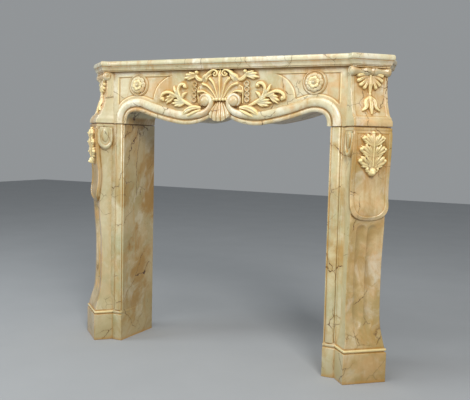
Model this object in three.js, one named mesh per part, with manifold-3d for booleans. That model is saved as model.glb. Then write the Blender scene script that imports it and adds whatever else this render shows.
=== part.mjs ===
// Fireplace mantel in painted cast stone: two canted console legs, an arched header with
// shell and leaf carving, and a moulded shelf with canted ends.
// Millimetres. X runs along the wall, Y from the room to the wall, Z up from the floor.

import * as THREE from "three";
import { mergeVertices } from "three/addons/utils/BufferGeometryUtils.js";
import Module from "manifold-3d";

const wasm = await Module();
wasm.setup();

// Driving sizes
const OPENING_WIDTH = 850;
const LEG_HEIGHT = 870;
const HEADER_HEIGHT = 202;
const SHELF_THICKNESS = 39.5;
const JOINT_GAP = 0.3;
const BODY_DEPTH = 221;
const STRIP_WIDTH = 43;
const BASE_HEIGHT = 104;
const BASE_WIDTH = 160.5;
const BASE_REACH = 75.4;
const CANT_DEGREES = 42;
const CONSOLE_RETURN = 32.3;
const CONSOLE_WIDTH = 141;
const SHAFT_WIDTH = 128;
const BLOCK_WIDTH = 135.5;
const SHELF_CANT_REACH = 46;
const SHELF_CANT_WIDTH = 138.5;
const SHELF_FRONT_REACH = 10;
const SHELF_END_OVERHANG = 25;
const TORUS_WIDTH = 30;
const TORUS_RISE = 9;
const STRAP_THICKNESS = 14;
const STRAP_BORDER = 11;
const STRAP_LAP = 3;
const SUNK_DEPTH = 2;
const PANEL_DEPTH = 3;
const FLUTE_WIDTH = 38;
const FLUTE_DEPTH = 5;
const ROSETTE_RADIUS = 33;
const ROSETTE_RING = 40;
const VOLUTE_RADIUS = 24;
const ROLL_RADIUS = 16.5;
const ROLL_FORWARD = 30.5;
const FINENESS = 1.0;

// The sizes that the relief is drawn for: it stretches with the header, legs and consoles
const DRAWN = { halfOpening: 425, header: 202, leg: 870, console: 141 };

// Planes and directions that follow from them
const HALF_OPENING = OPENING_WIDTH / 2;
const STRIP_OUT = HALF_OPENING + STRIP_WIDTH;
const GROUND_Y = 5;
const STRIP_LAP = 20;
const HEADER_BOTTOM = LEG_HEIGHT + JOINT_GAP;
const HEADER_TOP = LEG_HEIGHT + HEADER_HEIGHT;
const SHELF_BOTTOM = HEADER_TOP + JOINT_GAP;
const CANT = THREE.MathUtils.degToRad(CANT_DEGREES);
const FORWARD = [Math.sin(CANT), -Math.cos(CANT)];
const ACROSS = [Math.cos(CANT), Math.sin(CANT)];
const HALF_BODY = STRIP_OUT + BASE_WIDTH * ACROSS[0] - CONSOLE_RETURN;

// Solids

// A closed solid from a geometry: vertices are shared, empty triangles go, faces turn outward.
function solid(geometry) {
  const bare = geometry.clone();
  bare.deleteAttribute("normal");
  bare.deleteAttribute("uv");
  const merged = mergeVertices(bare, 1e-4);
  const source = merged.index.array;
  const positions = merged.attributes.position.array;
  const triangles = [];
  for (let i = 0; i < source.length; i += 3) {
    const [a, b, c] = [source[i], source[i + 1], source[i + 2]];
    if (a !== b && b !== c && c !== a) triangles.push(a, b, c);
  }
  if (signedVolume(positions, triangles) < 0) {
    for (let i = 0; i < triangles.length; i += 3) {
      [triangles[i + 1], triangles[i + 2]] = [triangles[i + 2], triangles[i + 1]];
    }
  }
  return new wasm.Manifold(new wasm.Mesh({
    numProp: 3,
    vertProperties: new Float32Array(positions),
    triVerts: new Uint32Array(triangles),
  }));
}

function signedVolume(positions, triangles) {
  const corner = (i) => new THREE.Vector3().fromArray(positions, 3 * i);
  let volume = 0;
  for (let i = 0; i < triangles.length; i += 3) {
    const [a, b, c] = [0, 1, 2].map((k) => corner(triangles[i + k]));
    volume += a.dot(b.cross(c)) / 6;
  }
  return volume;
}

// A body through rings of equal length; the cap is triangulated from its flat outline.
function skin(rings, outline) {
  const count = rings[0].length;
  const flat = outline.map(([a, b]) => new THREE.Vector2(a, b));
  const cap = THREE.ShapeUtils.triangulateShape(flat, []);
  const last = (rings.length - 1) * count;
  const index = [];
  for (let i = 0; i + 1 < rings.length; i += 1) {
    for (let j = 0; j < count; j += 1) {
      const k = (j + 1) % count;
      const [a, b, c, d] = [i * count + j, i * count + k, (i + 1) * count + k, (i + 1) * count + j];
      index.push(a, b, c, a, c, d);
    }
  }
  const wound = THREE.ShapeUtils.isClockWise(flat) ? -1 : 1;
  for (const [a, b, c] of cap) {
    if (wound > 0) index.push(a, c, b, last + a, last + b, last + c);
    else index.push(a, b, c, last + a, last + c, last + b);
  }
  const geometry = new THREE.BufferGeometry();
  geometry.setAttribute("position", new THREE.Float32BufferAttribute(rings.flat(2), 3));
  geometry.setIndex(index);
  return solid(geometry);
}

// A straight prism of a flat outline; place(a, b, c) puts outline a, b at distance c.
function prism(outline, from, to, place) {
  const shape = new THREE.Shape(outline.map(([a, b]) => new THREE.Vector2(a, b)));
  const geometry = new THREE.ExtrudeGeometry(shape, { depth: to - from, bevelEnabled: false });
  const position = geometry.attributes.position;
  for (let i = 0; i < position.count; i += 1) {
    position.setXYZ(i, ...place(position.getX(i), position.getY(i), from + position.getZ(i)));
  }
  return solid(geometry);
}

const union = (solids) => wasm.Manifold.union(solids);
const bothSides = (right) => [right, right.mirror([1, 0, 0])];

// One finished body: pockets sealed between overlapping strokes are filled.
function finished(solids) {
  const parts = union(solids).simplify(FINENESS).decompose();
  return union(parts.filter((part) => part.volume() > 0));
}

// Value of an evenly spaced list at u from 0 to 1.
function blend(list, u) {
  const x = u * (list.length - 1);
  const i = Math.min(Math.floor(x), list.length - 2);
  return THREE.MathUtils.lerp(list[i], list[i + 1], x - i);
}

// Value of a table of [at, value] rows, straight between rows.
function lookup(table, at) {
  const next = table.findIndex(([position]) => position >= at);
  if (next === -1) return table.at(-1)[1];
  if (next === 0) return table[0][1];
  const [[a, low], [b, high]] = [table[next - 1], table[next]];
  return THREE.MathUtils.mapLinear(at, a, b, low, high);
}

// Surfaces: each puts (across, up, height off the surface) in space

const stretchX = HALF_OPENING / DRAWN.halfOpening;
const stretchHeader = HEADER_HEIGHT / DRAWN.header;
const stretchLeg = LEG_HEIGHT / DRAWN.leg;
const stretchConsole = CONSOLE_WIDTH / DRAWN.console;

// The frieze: up is counted from the top of the legs.
const frieze = (s, t, h) => [s * stretchX, GROUND_Y - h, LEG_HEIGHT + t * stretchHeader];

// A point of the right console: along its front from the strip, forward from the strip, height.
function consolePoint(along, forward, z) {
  return [
    STRIP_OUT + along * ACROSS[0] + forward * FORWARD[0],
    along * ACROSS[1] + forward * FORWARD[1],
    z,
  ];
}

// How far forward the front stands at each height, for the leg and for the header's end block.
const SHAFT_PROFILE = [
  [125, 69], [150, 63], [175, 55.5], [200, 50], [250, 46], [300, 45], [400, 45], [450, 48],
  [500, 52], [550, 55], [600, 53], [650, 48], [700, 50], [750, 55], [800, 58], [856, 57],
];
const STRAP_PROFILE = [
  [556, 60], [575, 67], [600, 68], [630, 64], [665, 62.5], [710, 65.5], [755, 70],
  [800, 73.5], [840, 74.5], [857, 71],
];
const BLOCK_PROFILE = [
  [0.3, 71.5], [3, 72.5], [13, 72.5], [19, 70.5], [25, 66], [31, 64], [35, 57], [42, 52.5],
  [52, 48.5], [64, 43.5], [78, 39], [95, 35], [115, 31.5], [135, 30], [202, 30],
];

const strapFront = (s, t, h) => consolePoint(
  BASE_WIDTH / 2 + s * stretchConsole,
  lookup(STRAP_PROFILE, t) + h,
  t * stretchLeg,
);
const shaftFront = (s, t, h) => consolePoint(
  BASE_WIDTH / 2 + s,
  lookup(SHAFT_PROFILE, t) + h,
  t * stretchLeg,
);
const blockFront = (s, t, h) => consolePoint(
  BASE_WIDTH / 2 + s * stretchConsole,
  lookup(BLOCK_PROFILE, t) - SUNK_DEPTH + h,
  LEG_HEIGHT + t * stretchHeader,
);

// Relief

const RIDGE = [[-1, null], [-0.45, 1], [0.45, 1], [1, null]];
const ROUND = [[-1, null], [-0.71, 0.71], [0, 1], [0.71, 0.71], [1, null]];
const FURROW = [[-1, null], [-0.65, 1], [0, 0.5], [0.65, 1], [1, null]];
const HOLLOW = [[-1, null], [-0.55, -0.8], [0, -1], [0.55, -0.8], [1, null]];

// A raised stroke that follows a drawn path over a surface, or a hollow cut into it.
function stroke(surface, path, widths, heights, options = {}) {
  const { section = RIDGE, steps = 5, lift = 0, root = 4 } = options;
  const points = path.map(([s, t]) => new THREE.Vector3(s, t, 0));
  const curve = new THREE.CatmullRomCurve3(points, false, "centripetal");
  const rings = [];
  for (let i = 0; i <= steps; i += 1) {
    const u = i / steps;
    const at = curve.getPointAt(u);
    const way = curve.getTangentAt(u);
    const half = blend(widths, u) / 2;
    const height = blend(heights, u);
    rings.push(section.map(([v, rise]) => surface(
      at.x - way.y * v * half,
      at.y + way.x * v * half,
      rise === null ? -root : lift + rise * height,
    )));
  }
  return skin(rings, section.map(([v, rise]) => [v, rise ?? (section === HOLLOW ? 1 : -1)]));
}

// A closed relief over a surface from rows of [across, up, height] points.
function sheet(surface, rows, root = 4) {
  const [count, width] = [rows.length, rows[0].length];
  const at = (layer, i, j) => layer * count * width + i * width + j;
  const index = [];
  const quad = (a, b, c, d) => index.push(a, b, c, a, c, d);
  for (let i = 0; i + 1 < count; i += 1) {
    for (let j = 0; j + 1 < width; j += 1) {
      quad(at(0, i, j), at(0, i, j + 1), at(0, i + 1, j + 1), at(0, i + 1, j));
      quad(at(1, i, j), at(1, i + 1, j), at(1, i + 1, j + 1), at(1, i, j + 1));
    }
  }
  for (let i = 0; i + 1 < count; i += 1) {
    quad(at(0, i, 0), at(0, i + 1, 0), at(1, i + 1, 0), at(1, i, 0));
    quad(at(0, i + 1, width - 1), at(0, i, width - 1), at(1, i, width - 1), at(1, i + 1, width - 1));
  }
  for (let j = 0; j + 1 < width; j += 1) {
    quad(at(0, 0, j + 1), at(0, 0, j), at(1, 0, j), at(1, 0, j + 1));
    quad(at(0, count - 1, j), at(0, count - 1, j + 1), at(1, count - 1, j + 1), at(1, count - 1, j));
  }
  const top = rows.flat().map(([s, t, h]) => surface(s, t, h));
  const bottom = rows.flat().map(([s, t]) => surface(s, t, -root));
  const geometry = new THREE.BufferGeometry();
  geometry.setAttribute("position", new THREE.Float32BufferAttribute([...top, ...bottom].flat(), 3));
  geometry.setIndex(index);
  return solid(geometry);
}

// A fluted fan: each flute runs from the hub to its own tip, crest between two valleys.
function fan(surface, hub, tips, heights, groove, rows = 3) {
  const ends = [];
  tips.forEach(([s, t], i) => {
    ends.push([s, t, 1]);
    const next = tips[i + 1];
    if (next) ends.push([0.5 * (s + next[0]), 0.5 * (t + next[1]), 0]);
  });
  const grid = [];
  for (let i = 0; i <= rows; i += 1) {
    const u = i / rows;
    grid.push(ends.map(([s, t, crest]) => {
      const reach = crest ? u : u * 0.97;
      const from = [hub[0] + (s - hub[0]) * hub[2], hub[1] + (t - hub[1]) * hub[2]];
      const height = blend(heights, u) - (crest ? 0 : groove * Math.sqrt(u));
      return [from[0] + (s - from[0]) * reach, from[1] + (t - from[1]) * reach, height];
    }));
  }
  return sheet(surface, grid);
}

// A turned boss on a surface from a profile of [radius, height] rows.
function boss(surface, s, t, profile, segments = 10, root = 4) {
  const turned = [[0, -root], [profile[0][0], -root], ...profile];
  const outline = turned.map(([radius, height]) => new THREE.Vector2(radius, height));
  const geometry = new THREE.LatheGeometry(outline, segments);
  const position = geometry.attributes.position;
  for (let i = 0; i < position.count; i += 1) {
    const [x, height, y] = [position.getX(i), position.getY(i), position.getZ(i)];
    position.setXYZ(i, ...surface(s + x, t + y, height));
  }
  return solid(geometry);
}

const ball = (surface, s, t, radius, height) => boss(
  surface, s, t, [[radius, 0], [radius * 0.8, height * 0.65], [0, height]], 7,
);

// A flower of equal petals: each row is radius and height on a petal, then between petals.
function flower(surface, s, t, petals, rows, root = 4) {
  const ring = ([radius, height, radiusBetween, heightBetween]) => {
    const points = [];
    for (let i = 0; i < 2 * petals; i += 1) {
      const angle = (Math.PI * i) / petals;
      const [r, h] = i % 2 ? [radiusBetween, heightBetween] : [radius, height];
      points.push(surface(s + r * Math.cos(angle), t + r * Math.sin(angle), h));
    }
    return points;
  };
  const outline = [];
  for (let i = 0; i < 2 * petals; i += 1) {
    outline.push([Math.cos((Math.PI * i) / petals), Math.sin((Math.PI * i) / petals)]);
  }
  const [first] = rows;
  const below = ring([first[0], -root, first[2], -root]);
  return skin([below, ...rows.map(ring)], outline);
}

// Moulding of the opening: distance from the edge and height off the ground, then the back
function torusProfile(inner, width, rise, segments) {
  const points = [];
  for (let i = 0; i <= segments; i += 1) {
    const angle = (Math.PI * i) / segments;
    points.push([inner + (width / 2) * (1 - Math.cos(angle)), rise * Math.sin(angle)]);
  }
  return points;
}
const EDGE_MOULDING = [
  [0, 2], [3, 5], [7, 1],
  ...torusProfile(8, TORUS_WIDTH, TORUS_RISE, 4),
  [TORUS_WIDTH + 9.5, 3], [TORUS_WIDTH + 13, 3], [TORUS_WIDTH + 14, 0],
];

// The opening's edge from the leg to the centre: x and height above the legs
const ARCH = [
  [425, 0.3], [425, 12], [422, 27], [415, 41], [403, 51.5], [387, 57.5], [368, 59.5],
  [348, 57.5], [320, 49], [290, 39.5], [255, 30], [225, 23], [190, 16], [160, 11.5],
  [130, 11.5], [100, 16], [72, 24], [45, 35], [0, 36],
];

// Unit direction from the opening into the header at each point of the arch.
function archNormals() {
  return ARCH.map((point, i) => {
    const before = ARCH[Math.max(i - 1, 0)];
    const after = ARCH[Math.min(i + 1, ARCH.length - 1)];
    const [dx, dz] = [after[0] - before[0], after[1] - before[1]];
    const size = Math.hypot(dx, dz);
    return i === ARCH.length - 1 ? [0, 1] : [dz / size, -dx / size];
  });
}
const offsetArch = (distance) => {
  const normals = archNormals();
  return ARCH.map(([x, z], i) => [x + normals[i][0] * distance, z + normals[i][1] * distance]);
};

// Leg

// Plan of the console at one height, from the reveal side round to the wall.
function consolePlan(reach, inset, z, framed = false, sunk = 0) {
  const far = BASE_WIDTH - inset;
  const slope = ACROSS[1] / ACROSS[0];
  const outer = (BASE_WIDTH - inset) * ACROSS[0] + STRIP_OUT;
  const back = (outer - HALF_BODY) / FORWARD[0];
  const inside = HALF_OPENING + STRIP_WIDTH / 2;
  const frame = framed ? [
    consolePoint(inset + STRAP_BORDER, reach, z),
    consolePoint(inset + STRAP_BORDER + 1, reach - sunk, z),
    consolePoint(far - STRAP_BORDER - 1, reach - sunk, z),
    consolePoint(far - STRAP_BORDER, reach, z),
  ] : [];
  return [
    [inside, BODY_DEPTH, z],
    [inside, 30 * slope, z],
    consolePoint(inset, -6, z),
    consolePoint(inset, reach, z),
    ...frame,
    consolePoint(far, reach, z),
    consolePoint(far, -back, z),
    [HALF_BODY, BODY_DEPTH, z],
  ];
}

// Base mouldings: height above the base block, how far it stands out from the block's face.
const BASE_MOULDING = [
  [-BASE_HEIGHT, 0], [-1, 0], [0.5, -2], [3, -2], [5, 0], [9, 1], [13, 0], [14.5, -3.5], [19, -5],
];

function shaft() {
  const inset = (BASE_WIDTH - SHAFT_WIDTH) / 2;
  const rings = BASE_MOULDING.map(([up, out]) => consolePlan(
    BASE_REACH + out, -out, BASE_HEIGHT + up,
  ));
  const flare = [[125, 0.45], [150, 0.65], [175, 0.85], [200, 0.96]];
  for (const [t, reach] of SHAFT_PROFILE) {
    rings.push(consolePlan(reach, inset * lookup([...flare, [250, 1]], t), t * stretchLeg));
  }
  return skin(rings, rings[0]);
}

function strip() {
  const base = BASE_MOULDING.map(([up, out]) => {
    const z = BASE_HEIGHT + up;
    const front = -GROUND_Y - out;
    return [
      [HALF_OPENING, BODY_DEPTH, z], [HALF_OPENING, front, z],
      [STRIP_OUT - 2, front, z], [STRIP_OUT + STRIP_LAP, 12, z], [STRIP_OUT + STRIP_LAP, BODY_DEPTH, z],
    ];
  });
  const block = skin(base, base[0]);
  const upright = [
    [HALF_OPENING, BODY_DEPTH],
    ...EDGE_MOULDING.map(([distance, rise]) => [HALF_OPENING + distance, GROUND_Y - rise]),
    [STRIP_OUT + STRIP_LAP, GROUND_Y],
    [STRIP_OUT + STRIP_LAP, BODY_DEPTH],
  ];
  const foot = BASE_HEIGHT / 2;
  return union([block, prism(upright, foot, LEG_HEIGHT, (x, y, z) => [x, y, z])]);
}

// Strap that hangs over the console's front, rounded at its foot, with a scroll on each side.
function strap() {
  const half = CONSOLE_WIDTH / 2;
  const front = STRAP_PROFILE.map(([t, reach]) => [reach, t * stretchLeg]);
  const rear = STRAP_PROFILE.filter(([t]) => t < 795);
  const back = rear.map(([t, reach]) => [
    Math.min(reach - STRAP_THICKNESS, lookup(SHAFT_PROFILE, t) - STRAP_LAP), t * stretchLeg,
  ]).reverse();
  const scroll = [
    [60, 797], [57, 780], [49, 770], [38, 766], [26, 768], [15, 778], [9, 792], [7, 815], [7, 857],
  ].map(([u, t]) => [u, t * stretchLeg]);
  const sideways = (u, z, c) => consolePoint(c, u, z);
  const middle = BASE_WIDTH / 2;
  const side = [...front, ...scroll.reverse(), ...back];
  const ribbon = prism(side, middle - half, middle + half, sideways);

  const outline = (width, foot, top) => {
    const points = [[width, top], [width, foot + 52]];
    for (let i = 1; i < 5; i += 1) {
      const angle = (Math.PI / 2) * (i / 5);
      points.push([width * Math.cos(angle) ** 0.75, foot + 52 * (1 - Math.sin(angle) ** 0.9)]);
    }
    points.push([0, foot]);
    const left = points.slice(0, -1).map(([x, z]) => [-x, z]).reverse();
    return [...points, ...left];
  };
  const facing = (x, z, c) => consolePoint(middle + x, c, z * stretchLeg);
  const tongue = prism(outline(half, 557, 857), 0, 120, facing);
  const field = prism(outline(half - STRAP_BORDER, 569, 850), 0, 120, facing);
  const sunk = STRAP_PROFILE.map(([t, reach]) => [reach - SUNK_DEPTH, t * stretchLeg]);
  const clear = [...sunk, [110, 857 * stretchLeg], [110, 556 * stretchLeg]];
  const skim = prism(clear, middle - half, middle + half, sideways);
  return ribbon.intersect(tongue).subtract(field.intersect(skim));
}

function strapCap() {
  const levels = [[848, 70], [856, 70], [857.5, 71], [862, 71], [870, 71.5]];
  const inset = (BASE_WIDTH - CONSOLE_WIDTH) / 2;
  const rings = levels.map(([t, reach]) => consolePlan(reach, inset, t * stretchLeg));
  return skin(rings, rings[0]);
}

// Acanthus leaf on the strap. Each row runs from the midrib to an edge point: height of its
// root on the midrib, edge across, edge up, and how high the leaf stands there.
const LEAF_ROWS = [
  [853, 4, 852, 5], [849, 18, 851, 8], [845, 30, 840, 10], [840, 27, 831, 9], [836, 13, 828, 5],
  [832, 33, 839, 9], [825, 45, 824, 12], [818, 44, 808, 12], [812, 33, 797, 9], [806, 14, 793, 5],
  [801, 32, 803, 9], [792, 45, 789, 12], [783, 44, 771, 12], [776, 31, 757, 9], [768, 11, 758, 5],
  [763, 23, 757, 9], [754, 25, 742, 11], [746, 16, 731, 10], [738, 14, 727, 20], [726, 9, 722, 12],
];
function strapLeaf() {
  const across = [-1, -0.6, 0, 0.6, 1];
  const rows = LEAF_ROWS.map(([root, edge, up, height]) => across.map((part) => {
    const side = Math.abs(part);
    const rise = blend([10, height * 1.1, height * 0.5], side);
    return [part * edge, root + (up - root) * side ** 1.4, part === 0 ? rise + 3 : rise];
  }));
  return [
    sheet(strapFront, rows),
    boss(strapFront, 0, 735, [[13, 8], [11, 18], [0, 22]], 8),
  ];
}

function scrollEyes() {
  const inset = (BASE_WIDTH - CONSOLE_WIDTH) / 2;
  const oval = [[17, 0], [14, 3], [0, 6]];
  const near = (s, t, h) => consolePoint(inset - h, 34 + s, (817 + t * 1.7) * stretchLeg);
  const far = (s, t, h) => consolePoint(BASE_WIDTH - inset + h, 34 + s, (817 + t * 1.7) * stretchLeg);
  return [boss(near, 0, 0, oval, 8), boss(far, 0, 0, oval, 8)];
}

function leg() {
  const flutes = [-1, 1].map((side) => {
    const s = side * (FLUTE_WIDTH / 2 + 1.5);
    const path = [[s, 176], [s, 300], [s, 420], [s, 542]];
    const widths = [0.6, 1, 1, 1, 1, 1, 1, 1, 0.6].map((k) => k * FLUTE_WIDTH);
    const depths = [0.3, 1, 1, 1, 1, 1, 1, 1, 0.3].map((k) => k * FLUTE_DEPTH);
    return stroke(shaftFront, path, widths, depths, { section: HOLLOW, steps: 8, root: -2 });
  });
  const body = union([strip(), shaft()]).subtract(union(flutes));
  return finished([body, strap(), strapCap(), ...strapLeaf(), ...scrollEyes()]);
}

// Header

function headerBody() {
  const end = (STRIP_OUT + STRIP_LAP) / stretchX;
  const right = [[end, 0.3], ...ARCH.slice(0, -1)];
  const left = right.map(([x, z]) => [-x, z]).reverse();
  const outline = [...right, ARCH.at(-1), ...left];
  outline.push([-end, DRAWN.header], [end, DRAWN.header]);
  return prism(outline, GROUND_Y - BODY_DEPTH, 0, frieze);
}

function endBlock() {
  const inset = (BASE_WIDTH - BLOCK_WIDTH) / 2;
  const low = (BASE_WIDTH - CONSOLE_WIDTH) / 2;
  const insets = [[0, low], [19, low], [31, low + 1.5], [52, inset], [202, inset]];
  const rings = BLOCK_PROFILE.map(([t, reach]) => {
    const sunk = t > 32 ? SUNK_DEPTH : 0;
    const z = t < 1 ? HEADER_BOTTOM : LEG_HEIGHT + t * stretchHeader;
    return consolePlan(reach, lookup(insets, t), z, true, sunk);
  });
  return skin(rings, rings[0]);
}

// Turned roll under the shelf: distance from its middle and radius, as parts of its own size.
function roll() {
  const profile = [
    [0.5, 0], [0.5, 0.85], [0.45, 1], [0.37, 0.9], [0.27, 0.68], [0.11, 0.93], [0, 0.78],
  ];
  const left = profile.slice(0, -1).map(([s, r]) => [-s, r]).reverse();
  const outline = [...profile, ...left].map(
    ([s, r]) => new THREE.Vector2(r * ROLL_RADIUS, s * BLOCK_WIDTH),
  );
  const geometry = new THREE.LatheGeometry(outline, 8);
  const position = geometry.attributes.position;
  for (let i = 0; i < position.count; i += 1) {
    position.setXYZ(i, ...consolePoint(
      BASE_WIDTH / 2 + position.getY(i),
      ROLL_FORWARD + position.getX(i),
      HEADER_TOP - ROLL_RADIUS + position.getZ(i),
    ));
  }
  return solid(geometry);
}

// Two half shells with a leaf between them, a bead and a bellflower.
function blockCarving() {
  const tips = [[50, 163], [51, 144], [40, 127], [22, 115]];
  const petal = [[0, 104], [8, 84], [28, 62]];
  const solids = [];
  for (const side of [-1, 1]) {
    const mirrored = (points) => points.map(([s, t]) => [side * s, t]);
    solids.push(fan(blockFront, [side * 2, 166, 0.12], mirrored(tips), [5, 10, 8], 4, 2));
    solids.push(stroke(blockFront, mirrored(petal), [5, 15, 5], [5, 13, 5], { steps: 3 }));
  }
  solids.push(stroke(blockFront, [[0, 168], [0, 130], [0, 107]], [12, 17, 5], [10, 14, 6],
    { steps: 3 }));
  solids.push(ball(blockFront, 0, 109, 5.5, 8));
  solids.push(stroke(blockFront, [[0, 104], [0, 75], [0, 44]], [8, 17, 8], [8, 14, 7],
    { steps: 3 }));
  return solids;
}

// Lip, torus and fillet along the arch, and the torus's curl into the big volute.
function archMoulding() {
  const lip = EDGE_MOULDING.slice(0, 3);
  const rings = (edge, section) => {
    const normals = archNormals();
    const back = [[section.at(-1)[0], -4], [section[0][0], -4]];
    return edge.map((i) => [...section, ...back].map(([distance, rise]) => frieze(
      ARCH[i][0] + normals[i][0] * distance, ARCH[i][1] + normals[i][1] * distance, rise,
    )));
  };
  const cap = (section) => [...section, [section.at(-1)[0], -4], [section[0][0], -4]];
  const whole = ARCH.map((_, i) => i);
  const outer = whole.slice(0, 14);
  const torus = torusProfile(8, TORUS_WIDTH, TORUS_RISE, 4);
  const fillet = [[TORUS_WIDTH + 8, 3], [TORUS_WIDTH + 13, 3]];
  const curl = [
    [162, 35.2], [130, 35], [100, 38], [75, 42], [57, 49], [44, 60], [37, 74], [38, 90],
    [47, 104], [61, 110], [76, 104], [83, 90], [78, 75], [66, 68],
  ];
  return [
    skin(rings(whole, lip), cap(lip)),
    skin(rings(outer, torus), cap(torus)),
    skin(rings(outer, fillet), cap(fillet)),
    stroke(frieze, curl, [30, 29, 27, 24, 21, 19, 17, 14, 10], [9, 11, 13, 15, 15, 14, 12],
      { section: ROUND, steps: 14 }),
    boss(frieze, ...VOLUTE_AT, [[VOLUTE_RADIUS - 4, 6], [VOLUTE_RADIUS - 9, 17], [0, 21]], 9),
  ];
}

// Centres of the right rosette and of the right volute on the frieze
const ROSETTE_AT = [362, 150];
const VOLUTE_AT = [60, 88];

// Sunk panels either side of the rosette, cut back from the frieze.
function panels() {
  const lower = offsetArch(TORUS_WIDTH + 19).filter(([x]) => x > 296 && x < 452);
  const cartouche = [];
  for (let i = 0; i <= 8; i += 1) {
    const angle = (Math.PI / 2) * (i / 8);
    cartouche.push([189 + 98 * Math.cos(angle) + 4, 91 + 92 * Math.sin(angle)]);
  }
  const outline = [[455, 183], [455, 86], ...lower, ...cartouche];
  const panel = prism(outline, -PANEL_DEPTH, 4, frieze);
  const clear = ROSETTE_RING + 1.5;
  const round = boss(frieze, ...ROSETTE_AT, [[clear, 0], [clear, 8], [0, 8]], 20, 10);
  return panel.subtract(round);
}

function rosette() {
  const [s, t] = ROSETTE_AT;
  const outer = ROSETTE_RADIUS;
  return [
    boss(frieze, s, t, [
      [ROSETTE_RING, 0], [ROSETTE_RING - 2, 2.4], [ROSETTE_RING - 5, 0.4], [0, 0.4],
    ], 14),
    flower(frieze, s, t, 8, [
      [outer, 3, outer * 0.86, 1], [outer * 0.85, 7.5, outer * 0.78, 2.5],
      [outer * 0.6, 7, outer * 0.6, 3],
    ]),
    flower(frieze, s, t, 6, [
      [outer * 0.68, 8, outer * 0.54, 4], [outer * 0.5, 12, outer * 0.46, 7],
      [outer * 0.26, 8, outer * 0.26, 8],
    ]),
    boss(frieze, s, t, [[outer * 0.18, 12], [0, 15]], 7),
  ];
}

// Fan shell over the crown of the arch, its small volutes, and the shell that hangs below it.
function crownShell() {
  const solids = [];
  const add = (path, widths, heights, options) => {
    solids.push(stroke(frieze, path, widths, heights, options));
    if (path.at(-1)[0] !== 0) {
      const other = path.map(([s, t]) => [-s, t]);
      solids.push(stroke(frieze, other, widths, heights, options));
    }
  };
  const tips = [[86, 115], [85, 136], [70, 155], [48, 169], [24, 178], [0, 182]];
  const allTips = [...tips, ...tips.slice(0, -1).map(([s, t]) => [-s, t]).reverse()];
  solids.push(fan(frieze, [0, 97, 0.12], allTips, [9, 16, 17, 15], 7));
  add([[72, 138], [86, 137], [91, 122], [91, 100], [90, 80]], [6, 8, 8, 8, 7], [10, 10, 9, 8, 7],
    { steps: 5 });
  add([[58, 166], [46, 181], [34, 194], [20, 199], [11, 190], [15, 180], [26, 181], [29, 188]],
    [22, 20, 14, 11, 10, 9, 8, 7], [8, 13, 16, 17, 17, 16, 15, 14], { steps: 8 });
  add([[0, 178], [0, 190], [0, 201]], [12, 18, 8], [12, 15, 9], { steps: 3 });

  const lower = [[-34, 30], [-19, 21], [0, 16], [19, 21], [34, 30]];
  solids.push(fan(frieze, [0, 120, 0.32], lower, [13, 17, 20], 6, 2));
  for (const s of [-20, 0, 20]) solids.push(ball(frieze, s, 90, 9, 18));
  return solids;
}

// Husks, stems and acanthus sprays to the right of the crown.
function spray() {
  const drawn = [
    [[[82, 56], [130, 75], [165, 95], [200, 114], [225, 122], [246, 115], [256, 98], [247, 92]],
      [9, 12, 12, 11, 11, 13, 14, 10], [8, 10, 10, 10, 10, 11, 11, 9], { steps: 9 }],
    [[[160, 92], [177, 112], [178, 134], [167, 149], [151, 150], [147, 142]],
      [10, 12, 12, 13, 13, 9], [9, 10, 11, 12, 12, 10], { steps: 6 }],
    [[[134, 74], [162, 84], [197, 74]], [12, 21, 4], [8, 10, 4], { steps: 4 }],
    [[[184, 100], [208, 100], [234, 80]], [8, 18, 4], [7, 8, 4], { steps: 4 }],
    [[[176, 104], [190, 122], [200, 140]], [8, 13, 4], [7, 9, 4], { steps: 3 }],
    [[[84, 62], [108, 58], [128, 48], [150, 33]], [12, 20, 20, 5], [14, 17, 16, 8],
      { section: FURROW, steps: 4 }],
    [[[78, 52], [100, 44], [124, 30]], [8, 12, 5], [13, 15, 9], { steps: 3 }],
    [[[62, 172], [80, 165], [98, 175], [104, 188], [98, 197]], [9, 14, 13, 13, 11],
      [8, 10, 11, 11, 9], { steps: 5 }],
    [[[96, 180], [116, 190], [136, 186], [146, 170]], [10, 17, 17, 6], [8, 10, 10, 5],
      { steps: 4 }],
  ];
  const solids = drawn.map(([path, widths, heights, options]) => stroke(
    frieze, path, widths, heights, options,
  ));
  const husks = [[107, 151, 9], [108, 132, 10.5], [108, 112, 10.5], [109, 90, 10]];
  for (const [s, t, radius] of husks) {
    solids.push(boss(frieze, s, t, [[radius, 0], [radius * 0.7, 8], [0, 10]], 5));
  }
  return solids;
}

function header() {
  const cut = headerBody().subtract(union(bothSides(panels())));
  const right = union([endBlock(), roll(), ...blockCarving(), ...archMoulding(),
    ...rosette(), ...spray()]);
  const whole = union([cut, ...bothSides(right), ...crownShell()]);
  const lid = prism([[-900, -400], [900, -400], [900, 400], [-900, 400]],
    HEADER_TOP, HEADER_TOP + 60, (x, y, z) => [x, y, z]);
  return finished([whole.subtract(lid)]);
}

// Shelf

// Edge moulding of the shelf: part of its thickness, how far it stands out.
const SHELF_MOULDING = [
  [0, 0], [0.1, 0], [0.11, 3], [0.18, 3.4], [0.28, 4.4], [0.38, 6.4], [0.46, 8.6], [0.47, 6.8],
  [0.52, 6.8], [0.53, 9], [0.6, 10.6], [0.72, 11], [0.84, 10.6], [0.94, 9], [1, 6.5],
];

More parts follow.
